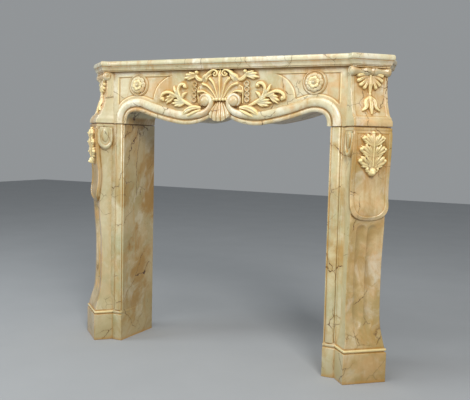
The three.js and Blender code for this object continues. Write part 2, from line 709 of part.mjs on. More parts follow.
function shelf() {
  const rings = SHELF_MOULDING.map(([part, out]) => {
    const z = SHELF_BOTTOM + part * SHELF_THICKNESS;
    const reach = SHELF_CANT_REACH + out;
    const near = (BASE_WIDTH - SHELF_CANT_WIDTH) / 2 - out;
    const far = BASE_WIDTH - near;
    const front = -SHELF_FRONT_REACH - out;
    const end = HALF_BODY + SHELF_END_OVERHANG + out;
    const notch = (near * ACROSS[1] - front) / -FORWARD[1];
    const outer = STRIP_OUT + far * ACROSS[0] + reach * FORWARD[0];
    const back = reach - (outer - end) / FORWARD[0];
    const right = [
      consolePoint(near, notch, z),
      consolePoint(near, reach, z),
      consolePoint(far, reach, z),
      consolePoint(far, back, z),
      [end, BODY_DEPTH, z],
    ];
    return [...right, ...right.map(([x, y]) => [-x, y, z]).reverse()];
  });
  return skin(rings, rings[0]);
}

// Named pieces

// The base's moulding is what stands furthest into the room: the origin is halfway to the wall.
function depthMiddle() {
  const furthest = Math.max(...BASE_MOULDING.map(([, out]) => out));
  return (BODY_DEPTH + consolePoint(-furthest, BASE_REACH + furthest, 0)[1]) / 2;
}

function piece(name, body, color) {
  const mesh = body.getMesh();
  const geometry = new THREE.BufferGeometry();
  geometry.setAttribute("position", new THREE.BufferAttribute(mesh.vertProperties, 3));
  geometry.setIndex(new THREE.BufferAttribute(mesh.triVerts, 1));
  geometry.computeVertexNormals();
  const material = new THREE.MeshStandardMaterial({ color, roughness: 0.45, metalness: 0 });
  material.name = name;
  const object = new THREE.Mesh(geometry, material);
  object.name = name;
  return object;
}

const rightLeg = leg();
const mantel = new THREE.Group();
mantel.name = "fireplace_mantel";
mantel.position.y = -depthMiddle();
mantel.add(
  piece("leg_left", rightLeg.mirror([1, 0, 0]), 0xc9b27c),
  piece("leg_right", rightLeg, 0xc9b27c),
  piece("header", header(), 0xd6c391),
  piece("shelf", shelf(), 0xddcfa2),
);

export default mantel;
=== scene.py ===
# %% [markdown]
# # A fireplace mantel in painted cast stone
# The real mantel is cast in four parts: two canted legs, an arched header and a moulded shelf.
# A caster carves one model, takes a mould, and paints the cast as onyx marble with a satin varnish.
# Each face that carries carving is made here as a dense surface whose height comes from drawn
# strokes, because that gives one continuous skin with soft joints, as a cast has.

import math

import bmesh
import bpy
import numpy as np
from mathutils import Matrix, Vector


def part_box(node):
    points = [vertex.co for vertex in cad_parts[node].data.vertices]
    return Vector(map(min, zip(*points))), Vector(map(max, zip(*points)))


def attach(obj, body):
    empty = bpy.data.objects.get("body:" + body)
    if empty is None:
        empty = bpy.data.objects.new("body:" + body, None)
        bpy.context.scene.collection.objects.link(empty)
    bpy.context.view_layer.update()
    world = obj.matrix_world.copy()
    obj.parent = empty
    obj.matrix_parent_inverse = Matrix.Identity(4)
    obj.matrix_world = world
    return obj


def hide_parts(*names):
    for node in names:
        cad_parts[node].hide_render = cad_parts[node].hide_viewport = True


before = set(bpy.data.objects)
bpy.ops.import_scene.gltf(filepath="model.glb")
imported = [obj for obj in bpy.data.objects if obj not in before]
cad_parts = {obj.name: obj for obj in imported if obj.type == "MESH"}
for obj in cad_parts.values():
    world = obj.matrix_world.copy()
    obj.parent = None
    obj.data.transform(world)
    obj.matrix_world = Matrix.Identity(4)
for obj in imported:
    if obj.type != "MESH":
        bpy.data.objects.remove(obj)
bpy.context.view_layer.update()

# %% [markdown]
# The sizes are in millimetres and repeat those of the solid model, so that the looks stand where
# the solids stand. The console of each leg is canted: `along` runs across its front from the
# upright strip, and `forward` runs out of its front.

# %% Sizes and surfaces
MM = 0.001
HALF_OPENING = 425
STRIP_OUT = 468
HALF_BODY = 555
LEG_HEIGHT = 870
JOINT_UP = 866.8
HEADER_HEIGHT = 202
SHELF_BOTTOM = 1072.3
BODY_DEPTH = 221
GROUND_Y = 5
BASE_HEIGHT = 104
BASE_WIDTH = 160.5
BASE_REACH = 75.4
CONSOLE_WIDTH = 141
SHAFT_WIDTH = 128
BLOCK_WIDTH = 135.5
STRAP_THICKNESS = 14
STRIP_LAP = 20
BORDER = 11
CANT = math.radians(42)
FORWARD = (math.sin(CANT), -math.cos(CANT))
ACROSS = (math.cos(CANT), math.sin(CANT))
WALL_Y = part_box("header")[1].y / MM
CELL = 1.4


def metres(x, y, z):
    """Points in metres from millimetres that count depth from the frieze."""
    x, y, z = np.broadcast_arrays(x, np.add(y, WALL_Y - BODY_DEPTH), z)
    return np.stack([x, y, z], axis=-1) * MM


def console_point(along, forward, up):
    along, forward = np.asarray(along, float), np.asarray(forward, float)
    return metres(STRIP_OUT + along * ACROSS[0] + forward * FORWARD[0],
                  along * ACROSS[1] + forward * FORWARD[1], up)


def frieze_point(across, up, height):
    return metres(across, GROUND_Y - height, LEG_HEIGHT + np.asarray(up, float))


# %% [markdown]
# Profiles are drawn with a few points, as on a drawing board, and a smooth curve is put through
# them. A centripetal curve is used because it makes no loops where points lie close together.

# %% Smooth curves
def spline(points, count):
    """Evenly spaced points on a centripetal curve through the drawn points."""
    drawn = np.asarray(points, float)
    if len(drawn) == 2:
        return drawn[0] + np.linspace(0, 1, count)[:, None] * (drawn[1] - drawn[0])
    p = np.vstack([2 * drawn[0] - drawn[1], drawn, 2 * drawn[-1] - drawn[-2]])
    knot = np.concatenate([[0], np.cumsum(np.linalg.norm(np.diff(p, axis=0), axis=1) ** 0.5)])
    fine = []
    for i in range(1, len(p) - 2):
        t = np.linspace(knot[i], knot[i + 1], 14, endpoint=i == len(p) - 3)[:, None]

        def between(a, b, from_, to):
            return (knot[to] - t) / (knot[to] - knot[from_]) * a \
                + (t - knot[from_]) / (knot[to] - knot[from_]) * b

        a1 = between(p[i - 1], p[i], i - 1, i)
        a2 = between(p[i], p[i + 1], i, i + 1)
        a3 = between(p[i + 1], p[i + 2], i + 1, i + 2)
        b1 = between(a1, a2, i - 1, i + 1)
        b2 = between(a2, a3, i, i + 2)
        fine.append(between(b1, b2, i, i + 1))
    fine = np.vstack(fine)
    run = np.concatenate([[0], np.cumsum(np.linalg.norm(np.diff(fine, axis=0), axis=1))])
    at = np.linspace(0, run[-1], count)
    return np.stack([np.interp(at, run, fine[:, k]) for k in range(fine.shape[1])], axis=-1)


def smooth_table(table, at):
    """Value of a drawn profile at each height, on the smooth curve through its points."""
    curve = spline(table, 12 * len(table))
    return np.interp(at, curve[:, 0], curve[:, 1])


def evenly(values, part):
    """Value of an evenly spaced list at parts from 0 to 1."""
    return np.interp(part, np.linspace(0, 1, len(values)), values)


def ramp(value, low, high):
    part = np.clip((value - low) / (high - low), 0, 1)
    return part * part * (3 - 2 * part)


SHAFT_PROFILE = [(119, 71), (125, 69), (150, 63), (175, 55.5), (200, 50), (250, 46), (300, 45),
                 (400, 45), (450, 48), (500, 52), (550, 55), (600, 53), (650, 48), (700, 50),
                 (750, 55), (800, 58), (857, 57)]
STRAP_PROFILE = [(556, 60), (575, 67), (600, 68), (630, 64), (665, 62.5), (710, 65.5),
                 (755, 70), (800, 73.5), (840, 74.5), (857, 71)]
BLOCK_PROFILE = [(0.3, 71.5), (3, 72.5), (13, 72.5), (19, 70.5), (25, 66), (31, 64), (35, 57),
                 (42, 52.5), (52, 48.5), (64, 43.5), (78, 39), (95, 35), (115, 31.5),
                 (135, 30), (202, 30)]
BLOCK_INSET = [(0, 9.75), (19, 9.75), (31, 11.25), (52, 12.5), (202, 12.5)]
ARCH = [(425, 0.3), (425, 12), (422, 27), (415, 41), (403, 51.5), (387, 57.5), (368, 59.5),
        (348, 57.5), (320, 49), (290, 39.5), (255, 30), (225, 23), (190, 16), (160, 11.5),
        (130, 11.5), (100, 16), (72, 24), (45, 35), (0, 36)]
arch_half = spline(ARCH[:-1] + [(20, 36.6), (0, 36.6)], 130)
print("curves: arch of", len(arch_half), "points")

# %% [markdown]
# A carved face is a relief: at every point of a fine grid it has a height off the ground. The
# strokes of a leaf, the ribs of a shell and the petals of a flower are each a small formula for
# that height, and a soft maximum joins them, which rounds the corner between two forms as plaster
# and paint do. The carving is the same on both sides, so `across` is taken without its sign.

# %% Relief
def soft_max(a, b, soft):
    near = np.clip(soft - np.abs(a - b), 0, None) / soft
    return np.maximum(a, b) + near * near * soft / 4


def blurred(grid, times):
    for _ in range(times):
        for axis in (0, 1):
            wide = np.concatenate([grid.take([0], axis), grid, grid.take([-1], axis)], axis)
            low, high = [slice(None)] * 2, [slice(None)] * 2
            low[axis], high[axis] = slice(0, -2), slice(2, None)
            grid = (wide[tuple(low)] + 2 * grid + wide[tuple(high)]) / 4
    return grid


def rounded_section(v):
    return np.clip(1 - v * v, 0, 1) ** 0.7


def crest_section(v):
    """A narrow crest with hollow sides."""
    return (1 - np.clip(v, 0, 1)) ** 1.8


def lobe_section(v):
    """A broad round lobe with a faint furrow."""
    return np.clip(1 - v ** 2.6, 0, 1) ** 0.75 * (0.86 + 0.14 * ramp(v, 0.0, 0.4))


class Relief:
    """Heights over a grid of (across, up) points, in millimetres."""

    FALL = 2.2

    def __init__(self, across, up):
        self.s, self.t = np.abs(across), np.asarray(up, float)
        self.h = np.zeros(self.s.shape)

    def near(self, low, high):
        return np.nonzero((self.s > low[0]) & (self.s < high[0])
                          & (self.t > low[1]) & (self.t < high[1]))

    def join(self, where, height, soft):
        self.h[where] = soft_max(self.h[where], height, soft)

    def stroke(self, path, widths, heights, section=rounded_section, soft=1.2):
        """A raised stroke that follows a drawn path."""
        line = spline(path, 40)
        margin = max(widths) / 2 + 5
        where = self.near(line.min(0) - margin, line.max(0) + margin)
        if not len(where[0]):
            return
        point = np.stack([self.s[where], self.t[where]], axis=-1)
        a, d = line[:-1], np.diff(line, axis=0)
        away = point[:, None] - a
        along = np.clip((away * d).sum(-1) / (d * d).sum(-1), 0, 1)
        gap = np.linalg.norm(away - along[..., None] * d, axis=-1)
        best = gap.argmin(1)
        row = np.arange(len(best))
        part = (best + along[row, best]) / len(d)
        half = evenly(widths, part) / 2
        v = gap[row, best] / half
        height = evenly(heights, part) * section(np.clip(v, 0, 1))
        height = np.where(v > 1, -self.FALL * (v - 1) * half, height)
        self.join(where, height, soft)

    def shell(self, hub, tips, heights, groove, scallop=0.05, soft=1.2):
        """Ribs that fan out from a hub, with a valley between each two."""
        tips = np.asarray(tips, float)
        start = np.asarray(hub[:2], float)
        reach = np.linalg.norm(tips - start, axis=1)
        turn = np.arctan2(tips[:, 1] - start[1], tips[:, 0] - start[0])
        order = np.argsort(turn)
        where = self.near(np.minimum(tips.min(0), start) - 12, np.maximum(tips.max(0), start) + 12)
        s, t = self.s[where] - start[0], self.t[where] - start[1]
        r, angle = np.hypot(s, t), np.arctan2(t, s)
        rib = np.interp(angle, turn[order], np.arange(len(tips)), left=-0.4, right=len(tips) - 0.6)
        edge = np.interp(angle, turn[order], reach[order])
        crest = np.abs(np.cos(np.pi * rib)) ** 0.8
        edge = edge * (1 - scallop * (1 - crest))
        part = np.clip(r / edge, 0, 1)
        body = evenly(heights, part) - groove * np.sqrt(part) * (1 - crest)
        lip = np.sqrt(np.clip(1 - ((part - 0.9) / 0.1).clip(0, 1) ** 2, 0, 1))
        height = body * (0.35 + 0.65 * lip)
        side = np.maximum(turn.min() - angle, angle - turn.max())
        out = np.maximum(r - edge, np.clip(side, 0, None) * r - 2)
        self.join(where, np.where(out > 0, -self.FALL * out, height), soft)

    def dome(self, centre, radius, height, soft=1.0, stretch=1.0, lift=0.0):
        where = self.near(np.subtract(centre, radius * 1.6 + 3), np.add(centre, radius * 1.6 + 3))
        r = np.hypot(self.s[where] - centre[0], (self.t[where] - centre[1]) / stretch) / radius
        body = lift + height * np.sqrt(np.clip(1 - r * r, 0, 1))
        self.join(where, np.where(r > 1, -self.FALL * (r - 1) * radius, body), soft)

    def crest(self, ground=0.0):
        """How far each point stands above its surroundings, from 0 to 1 with 0.5 for level; the paint
        lays gilt and a painted highlight on high values, and wash and painted shade on low ones.
        """
        height = self.h + 1.8 * ground
        # Higher points get more gold cream, partly gilt and partly a painted highlight.
        gilt_and_highlight = 0.01 * np.clip(self.h, 0, 12)
        return np.clip(0.5 + gilt_and_highlight + (height - blurred(height, 14)) / 7, 0, 1)


# %% [markdown]
# Two ways to make a body from points are enough here. A grid whose rows are closed rings is a
# loft, which suits a shaft, a moulding or a turned roll. A sweep is a loft whose rings follow a
# path. Both are closed at their ends, and their normals are turned outward by Blender.

# %% Meshes from points
PIECES = []
WELD = 2e-6
LEVEL = 0.5  # the crest of a point level with its surroundings


def finished(mesh, crest=None, weld=False):
    """Turns the faces outward, and gives each point its crest, which the paint reads."""
    shell = bmesh.new()
    shell.from_mesh(mesh)
    if crest is not None:
        level = shell.verts.layers.float.new("crest")
        for vert, value in zip(shell.verts, np.ravel(crest)):
            vert[level] = value
    if weld:
        bmesh.ops.remove_doubles(shell, verts=shell.verts, dist=WELD)
    bmesh.ops.recalc_face_normals(shell, faces=shell.faces)
    shell.to_mesh(mesh)
    shell.free()
    return mesh


def piece(name, points, faces, slot, crest=None, sharp=38):
    """A finished piece at the origin, from points in metres and faces."""
    points = np.asarray(points, float).reshape(-1, 3)
    mesh = bpy.data.meshes.new(name)
    mesh.from_pydata(points.tolist(), [], faces)
    finished(mesh, np.full(len(points), LEVEL) if crest is None else crest, weld=True)
    mesh.shade_smooth()
    if sharp:
        mesh.set_sharp_from_angle(angle=math.radians(sharp))
    return placed(bpy.data.objects.new(name, mesh), slot)


def placed(made, slot):
    bpy.context.scene.collection.objects.link(made)
    PIECES.append((made, slot))
    triangles = sum(len(p.vertices) - 2 for p in made.data.polygons)
    print(f"{made.name}: {triangles} triangles")
    return made


def ring_faces(rows, columns):
    """Quads between the rings, and a face over each end."""
    faces = []
    for i in range(rows - 1):
        a = i * columns
        for j in range(columns):
            k = (j + 1) % columns
            faces.append((a + j, a + k, a + columns + k, a + columns + j))
    faces.append(tuple(range(columns))[::-1])
    faces.append(tuple(range((rows - 1) * columns, rows * columns)))
    return faces


def loft(name, rings, slot, crest=None, sharp=38):
    """A closed body through rings of equal length."""
    rings = np.asarray(rings, float)
    return piece(name, rings, ring_faces(*rings.shape[:2]), slot, crest, sharp)


def mirrored(source, name, slot):
    """The same piece on the other side of the middle."""
    mesh = source.data.copy()
    mesh.name = name
    mesh.transform(Matrix.Scale(-1, 4, (1, 0, 0)))
    mesh.flip_normals()
    return placed(bpy.data.objects.new(name, mesh), slot)


def sweep_rings(path, widths, heights, section, surface):
    """Rings of a section of (part of half width, part of height) rows along a path."""
    way = np.gradient(path, axis=0)
    way /= np.linalg.norm(way, axis=1)[:, None]
    part = np.linspace(0, 1, len(path))
    half, height = evenly(widths, part) / 2, evenly(heights, part)
    section = np.asarray(section, float)
    v, rise = section[:, 0], section[:, 1]
    s = path[:, :1] - way[:, 1:] * v * half[:, None]
    t = path[:, 1:] + way[:, :1] * v * half[:, None]
    h = np.where(rise < 0, rise, rise * height[:, None])
    return surface(s, t, h)


def arc_section(parts, root):
    """Half a round, from edge to edge, with a root below the ground."""
    angles = np.linspace(0, math.pi, parts + 1)
    rows = [(-math.cos(a), math.sin(a)) for a in angles]
    return [(-1, -root)] + rows + [(1, -root)]


# %% [markdown]
# The base and shaft of a leg are one loft from the floor to the top. Each level is the plan of
# the console: its reach, how far its sides stand in, and small rounded corners. The two flutes
# are cut by moving the points of the front inward. The moulding over the base block is drawn
# with a quirk and a round, so that it catches a line of light; its crest also paints a highlight
# on the round and shade in the quirk.

# %% Console plan
CORNER = 2.2
FRONT_POINTS = 101


def console_ring(reach, inset, up, cut=0.0, count=FRONT_POINTS):
    """Plan of the console at one height, with the front moved out by `cut` at each point."""
    far = BASE_WIDTH - inset
    turn = np.radians([0, 22.5, 45, 67.5, 90])
    near_arc = [inset + CORNER * (1 - np.cos(turn)), reach - CORNER * (1 - np.sin(turn))]
    front = np.linspace(inset + CORNER, far - CORNER, count)
    outer = far * ACROSS[0] + STRIP_OUT
    back = (outer - HALF_BODY) / FORWARD[0]
    along = np.concatenate([[inset, inset], near_arc[0][:-1], front,
                            far - (near_arc[0] - inset)[::-1][1:], [far, far]])
    forward = np.concatenate([[-6, reach - 2 * CORNER], near_arc[1][:-1],
                              reach + cut * np.ones(count), near_arc[1][::-1][1:],
                              [reach - 2 * CORNER, -back]])
    ring = console_point(along, forward, up)
    inside = HALF_OPENING + 20
    seam = STRIP_OUT + STRIP_LAP + 0.4
    wall = metres([HALF_BODY, seam, seam, inside, inside],
                  [BODY_DEPTH, BODY_DEPTH, BODY_DEPTH - 2, BODY_DEPTH - 2, 27], up)
    return np.concatenate([ring, wall])


def smooth_steps(corners, radius=1.0, parts=3):
    """A moulding profile of (up, out) rows with its corners rounded a little."""
    p = np.asarray(corners, float)
    rows = [p[0]]
    for before, at, after in zip(p[:-2], p[1:-1], p[2:]):
        into, out = before - at, after - at
        r = min(radius, 0.45 * np.linalg.norm(into), 0.45 * np.linalg.norm(out))
        a = at + into / np.linalg.norm(into) * r
        b = at + out / np.linalg.norm(out) * r
        for k in np.linspace(0, 1, parts):
            rows.append((1 - k) ** 2 * a + 2 * k * (1 - k) * at + k * k * b)
    rows.append(p[-1])
    return np.array(rows)


BEAD = [(4 + 5 * (1 - math.cos(a)), -4.6 + 4.4 * math.sin(a)) for a in np.linspace(0, math.pi, 11)]
BASE_MOULDING = np.vstack([
    smooth_steps([(-104, -1), (-103, 0), (-60, 0), (-1.8, 0), (0.2, -3), (1, -5.2), (3.6, -5.2),
                  (4, -4.6)], 1.2),
    BEAD[1:], [(14.8, -6), (16.4, -6.2), (19, -6)]])
base_rise = BASE_MOULDING[:, 0]
# The crest paints a highlight on the round of the bead and shade in the quirks beside it.
bead_part = (base_rise > 4.5) & (base_rise < 13.5)
quirk_part = (base_rise > 0.5) & (base_rise < 16.5) & ~bead_part
BASE_LIGHT_AND_SHADE = np.where(bead_part, 0.8, np.where(quirk_part, 0.12, 0.5))


def crest_rows_of(rings, first):
    """The crest of each ring: the given first values, then level."""
    values = np.full(len(rings), 0.5)
    values[:len(first)] = first
    return np.repeat(values[:, None], len(rings[0]), 1)


def base_levels():
    return [(BASE_REACH + out, -out, BASE_HEIGHT + up) for up, out in BASE_MOULDING]


FLUTE_RUNOUT = 0.28
FLUTE_LOW, FLUTE_TOP = 182, 542
FLUTE_MIDDLE, FLUTE_HALF, FLUTE_DEPTH = 20.5, 18.5, 6


def flute_cut(along, up):
    """Depth of the two flutes of the shaft, with rounded ends."""
    s = np.abs(along)
    low, high = FLUTE_LOW + FLUTE_HALF / FLUTE_RUNOUT, FLUTE_TOP - FLUTE_HALF
    end = np.where(up < low, FLUTE_RUNOUT * (low - up), np.where(up > high, up - high, 0))
    r = np.hypot(s - FLUTE_MIDDLE, end) / FLUTE_HALF
    return -FLUTE_DEPTH * np.clip(1 - r * r, 0, 1) ** 0.9


inset = (BASE_WIDTH - SHAFT_WIDTH) / 2
shaft_rings = [console_ring(*level) for level in base_levels()]
across = np.linspace(-(SHAFT_WIDTH / 2 - CORNER), SHAFT_WIDTH / 2 - CORNER, FRONT_POINTS)
flare = [(123, 0.4), (150, 0.65), (175, 0.85), (200, 0.96), (250, 1), (900, 1)]
for up in np.append(np.arange(126, 845, 2.4), 845.6):
    shaft_rings.append(console_ring(float(smooth_table(SHAFT_PROFILE, up)),
                                    inset * float(smooth_table(flare, up)), up,
                                    flute_cut(across, np.full(across.shape, up))))
loft("leg_right_shaft", shaft_rings, "leg_right", crest_rows_of(shaft_rings, BASE_LIGHT_AND_SHADE))

# %% [markdown]
# The upright strip beside the opening carries a lip, a torus and a fillet. Its section is drawn
# once and extruded to the top, and a small block with the same base moulding stands under it.

# %% Upright strip
TORUS = [(7 + 16 * (1 - math.cos(a)), 9.5 * math.sin(a)) for a in np.linspace(0, math.pi, 17)]
EDGE_MOULDING = np.vstack([
    smooth_steps([(0, -3), (0, 1.2), (2.6, 3.4), (5.6, 0.6), (7, 0)], 0.9),
    TORUS[1:-1], smooth_steps([(39, 0), (40.2, 3), (44, 3), (45.2, 0), (63, 0)], 0.8)])


def strip_ring(up, shrink=0.0):
    x = HALF_OPENING + np.clip(EDGE_MOULDING[:, 0], shrink, None)
    y = GROUND_Y - EDGE_MOULDING[:, 1] + shrink
    x = np.concatenate([[HALF_OPENING + shrink], x, [STRIP_OUT + STRIP_LAP]])
    y = np.concatenate([[BODY_DEPTH], y, [BODY_DEPTH]])
    return metres(x, y, up)


strip_rings = [strip_ring(up, shrink) for up, shrink in (
    (122.98, 0), (400, 0), (865.8, 0), (866.6, 0.7), (JOINT_UP, 4), (869.6, 4))]
# The last rows stand in and take the lowest crest, which paints shade into the joint under the header.
JOINT_SHADE = [0.5, 0.5, 0.5, 0.5, 0.0, 0.0]
loft("leg_right_strip", strip_rings, "leg_right", crest_rows_of(strip_rings, JOINT_SHADE))


def strip_block_ring(up, out):
    front = -GROUND_Y - out
    x = [HALF_OPENING, HALF_OPENING, HALF_OPENING + 0.5, HALF_OPENING + 2, STRIP_OUT - 2,
         STRIP_OUT + STRIP_LAP, STRIP_OUT + STRIP_LAP]
    y = [BODY_DEPTH, front + 2, front + 0.5, front, front, 12, BODY_DEPTH]
    return metres(x, y, BASE_HEIGHT + up)


block_rings = [strip_block_ring(*row) for row in BASE_MOULDING]
# Its front takes a weaker painted highlight and painted shade on the same rows, and the reveal none.
in_reveal = np.array(block_rings)[..., 1] > block_rings[0][1, 1]
strip_crest = np.where(in_reveal, LEVEL, LEVEL + (BASE_LIGHT_AND_SHADE[:, None] - LEVEL) * 0.3)
loft("leg_right_strip_base", block_rings, "leg_right", strip_crest)

# %% [markdown]
# A strap hangs over the upper shaft: a tongue with a raised border, rounded at its foot. Each of
# its rows spans the tongue's own width, so the outline stays smooth.

# %% Strap outline
HALF_STRAP = CONSOLE_WIDTH / 2
STRAP_FOOT, STRAP_TOP, FOOT_ROUND = 557, 857, 52
FIELD_FOOT, FIELD_TOP = 569, 850


def tongue_width(up, half, foot):
    q = np.clip(1 - (up - foot) / FOOT_ROUND, 0, 1) ** (1 / 0.9)
    return half * np.cos(np.arcsin(q)) ** 0.75


turn = np.linspace(0.5 * math.pi, 0, 34)[:-1]
foot_rows = STRAP_FOOT + FOOT_ROUND * (1 - np.sin(turn) ** 0.9)
strap_up = np.concatenate([foot_rows, np.arange(STRAP_FOOT + FOOT_ROUND, STRAP_TOP, CELL),
                           [STRAP_TOP]])
edge_parts = np.array([0, 0.35, 0.9, 1.8]) / HALF_STRAP
spread = np.concatenate([-1 + edge_parts, np.linspace(-1, 1, 103)[2:-2], (1 - edge_parts)[::-1]])
strap_across = spread * tongue_width(strap_up, HALF_STRAP, STRAP_FOOT)[:, None]
strap = Relief(strap_across, np.repeat(strap_up[:, None], len(spread), 1))
field = tongue_width(strap.t, HALF_STRAP - BORDER, FIELD_FOOT)
field = field * (strap.t > FIELD_FOOT) * (strap.t < FIELD_TOP)
strap_ground = -2.2 * ramp(field - strap.s, 0, 2.4) * ramp(FIELD_TOP - strap.t, 0, 2.4)
edge_gap = np.abs((1 - np.abs(spread)) * tongue_width(strap_up, HALF_STRAP, STRAP_FOOT)[:, None])
strap_ground -= 2.4 * np.clip(1 - edge_gap / 2, 0, 1) ** 2

# %% [markdown]
# The acanthus leaf on the strap has four pairs of lobes. Each lobe is a fan of folds that springs
# low on the midrib, so that neighbours overlap, and its tip curls over as a small round. The foot
# of the leaf curls out as a knob.

# %% Acanthus leaf of the strap
strap.stroke([(0, 850), (0, 815), (0, 776), (0, 732)], [16, 40, 48, 32], [9, 11, 12, 12],
             lobe_section)
LOBES = [
    # hub of each lobe low on the midrib, the tips of its folds, and the tip that curls over
    ((0, 806), [(9, 842), (23, 848), (37, 841), (40, 827), (31, 816)], (37, 832), 6),
    ((0, 772), [(13, 806), (28, 814), (42, 807), (46, 790), (36, 778)], (43, 796), 7),
    ((0, 736), [(13, 772), (28, 781), (43, 773), (47, 752), (37, 737)], (44, 758), 8),
    ((0, 726), [(15, 745), (23, 737), (21, 722), (11, 713)], (19, 730), 6),
]
for hub, tips, curl, radius in LOBES:
    strap.shell(hub, tips, [12, 12, 13.5, 12], 2.6, scallop=0.16, soft=0.8)
    strap.dome(curl, radius, 16, soft=2.5)
strap.stroke([(0, 853), (0, 800), (0, 740)], [6, 9, 9, 9], [11, 13, 14, 16])
strap.dome((0, 722), 16, 23)
strap.dome((0, 717), 11, 27, stretch=0.9)
# Higher parts of the leaf are made lighter, partly gilt and partly a painted highlight.
strap_crest = strap.crest(strap_ground) + 0.1 * ramp(strap.h, 3, 9)
strap_height = blurred(strap.h, 1) + strap_ground
reach = smooth_table(STRAP_PROFILE, strap.t)
strap_front = console_point(BASE_WIDTH / 2 + strap_across, reach + strap_height, strap.t)
strap_back = console_point(BASE_WIDTH / 2 + strap_across[:, ::-1], reach - STRAP_THICKNESS,
                           strap.t)
loft("leg_right_strap", np.concatenate([strap_front, strap_back], axis=1), "leg_right",
     np.concatenate([strap_crest, np.full(strap_crest.shape, LEVEL)], axis=1), sharp=0)

# %% [markdown]
# Behind the top of the strap its end rolls up into a scroll that shows on both sides of the
# console. The roll is a loft across the console. On each side of it a U-shaped border is swept
# along the scroll, around a low boss.

# %% Scroll behind the strap
SCROLL = [(64, 800), (60, 790), (54, 776), (46, 768.5), (37, 766), (27, 768), (17, 776),
          (10.5, 789), (7.5, 805), (7, 830), (7, 856)]
scroll_line = np.vstack([spline(SCROLL, 48), [(68, 856)], [(70, 830)]])
scroll_low = (BASE_WIDTH - CONSOLE_WIDTH) / 2
centre = np.array([38, 812])
scroll_rings = []
for along, shrink in ((0, 2.6), (0.4, 1.2), (1.4, 0.3), (2.8, 0), (CONSOLE_WIDTH - 2.8, 0),
                      (CONSOLE_WIDTH - 1.4, 0.3), (CONSOLE_WIDTH - 0.4, 1.2), (CONSOLE_WIDTH, 2.6)):
    line = centre + (scroll_line - centre) * (1 - shrink / 40)
    scroll_rings.append(console_point(scroll_low + along, line[:, 0], line[:, 1]))
loft("leg_right_scroll", scroll_rings, "leg_right")
ear = spline([(13, 852), (12, 818), (17, 790), (36, 777), (55, 790), (61, 818), (61, 848)], 60)
BOSS = (37, 825)
BOSS_HALF = (15, 28)
BOSS_PROFILE = [(1, -1), (1, 0.6), (0.93, 2), (0.78, 3.3), (0.55, 4.2), (0.28, 4.7), (0.02, 4.8)]
for side, name in ((-1, "near"), (1, "far")):
    edge = scroll_low if side < 0 else BASE_WIDTH - scroll_low

    def on_side(s, t, h, edge=edge, side=side):
        return console_point(edge + side * h, s, t)

    rings = sweep_rings(ear, [10, 14, 17, 14, 10], [1.5, 4, 6.5, 4, 1.5], arc_section(8, 2),
                        on_side)
    loft(f"leg_right_ear_{name}", rings, "leg_right", sharp=0)
    angles = np.linspace(0, 2 * math.pi, 41)[:-1]
    button = [on_side(BOSS[0] + BOSS_HALF[0] * r * np.cos(angles),
                      BOSS[1] + BOSS_HALF[1] * r * np.sin(angles), h) for r, h in BOSS_PROFILE]
    loft(f"leg_right_eye_{name}", button, "leg_right", sharp=0)

# %% [markdown]
# A thin cap lies over the strap and the scroll. It reaches up to the joint under the header, and
# its last rows stand in a little and have the lowest crest, so that painted shade darkens the joint.

# %% Cap over the strap
CAP_REACH = 71.5
cap_inset = (BASE_WIDTH - CONSOLE_WIDTH) / 2
cap_levels = smooth_steps([(846, 68), (856.4, 68), (857.6, 71.2), (861, 71.4), (865.8, CAP_REACH),
                           (JOINT_UP, 70.4), (866.9, 67.4), (869.6, 67.4)], 0.3)
cap_rings = [console_ring(out, cap_inset + max(0, CAP_REACH - out) * (0.4 if up < 860 else 1), up,
                          count=9) for up, out in cap_levels]
# The rows above the joint take the lowest crest, which paints shade into the joint.
cap_crest = np.where(cap_levels[:, 0] > JOINT_UP, 0.0, LEVEL)
loft("leg_right_cap", cap_rings, "leg_right", crest_rows_of(cap_rings, cap_crest))

# %% [markdown]
# The frieze is one grid of points over the whole header. Its columns lie closer together where
# there is carving. Cells that fall in the opening are left out, and the lip of the arch hides
# that edge. The sunk panels follow the arch and leave room for the rosettes.

# %% Frieze grid
ROSETTE = (362, 150)
VOLUTE_EYE = (59, 87)
columns = [np.arange(0, 264, 1.2), np.arange(264, 318, 1.9), np.arange(318, 408, 1.2),
           np.arange(408, 488, 2.2)]
right = np.concatenate(columns)
frieze_x = np.concatenate([-right[:0:-1], right])
frieze_t = np.linspace(0.6, 201.7, 145)
grid_s, grid_t = np.meshgrid(frieze_x, frieze_t)
frieze = Relief(grid_s, grid_t)


def arch_gap(s, t):
    """Distance from the arch's edge, positive inside the header."""
    out = np.empty(s.shape)
    line = arch_half[::3]
    a, d = line[:-1], np.diff(line, axis=0)
    for i in range(s.shape[0]):
        away = np.stack([s[i], t[i]], axis=-1)[:, None] - a
        along = np.clip((away * d).sum(-1) / (d * d).sum(-1), 0, 1)
        gap = away - along[..., None] * d
        best = np.linalg.norm(gap, axis=-1).argmin(1)
        row = np.arange(len(best))
        across = d[best, 0] * gap[row, best, 1] - d[best, 1] * gap[row, best, 0]
        out[i] = np.linalg.norm(gap[row, best], axis=-1) * -np.sign(across)
    return out


gap = arch_gap(frieze.s, frieze.t)
oval = (np.hypot((frieze.s - 193) / 98, (frieze.t - 91) / 92) - 1) * 95
inner = np.where(frieze.t > 91, np.where(frieze.s > 193, oval, -1), frieze.s - 291)
rosette_gap = np.hypot(frieze.s - ROSETTE[0], frieze.t - ROSETTE[1]) - 41
panel = np.minimum.reduce([183 - frieze.t, 455 - frieze.s, gap - 49, inner, rosette_gap])
panel_ground = -3 * ramp(panel, 0, 2.6) - 1.4 * np.exp(-((panel - 3.2) / 1.6) ** 2)
print("frieze grid", frieze.h.shape)

# %% [markdown]
# The crown of the arch carries a large shell of seven ribs with a pair of small volutes and leaves
# over it. A smaller shell turned upside down hangs below, with five balls between the two.
# Strings of husks part the shell from the sprays.

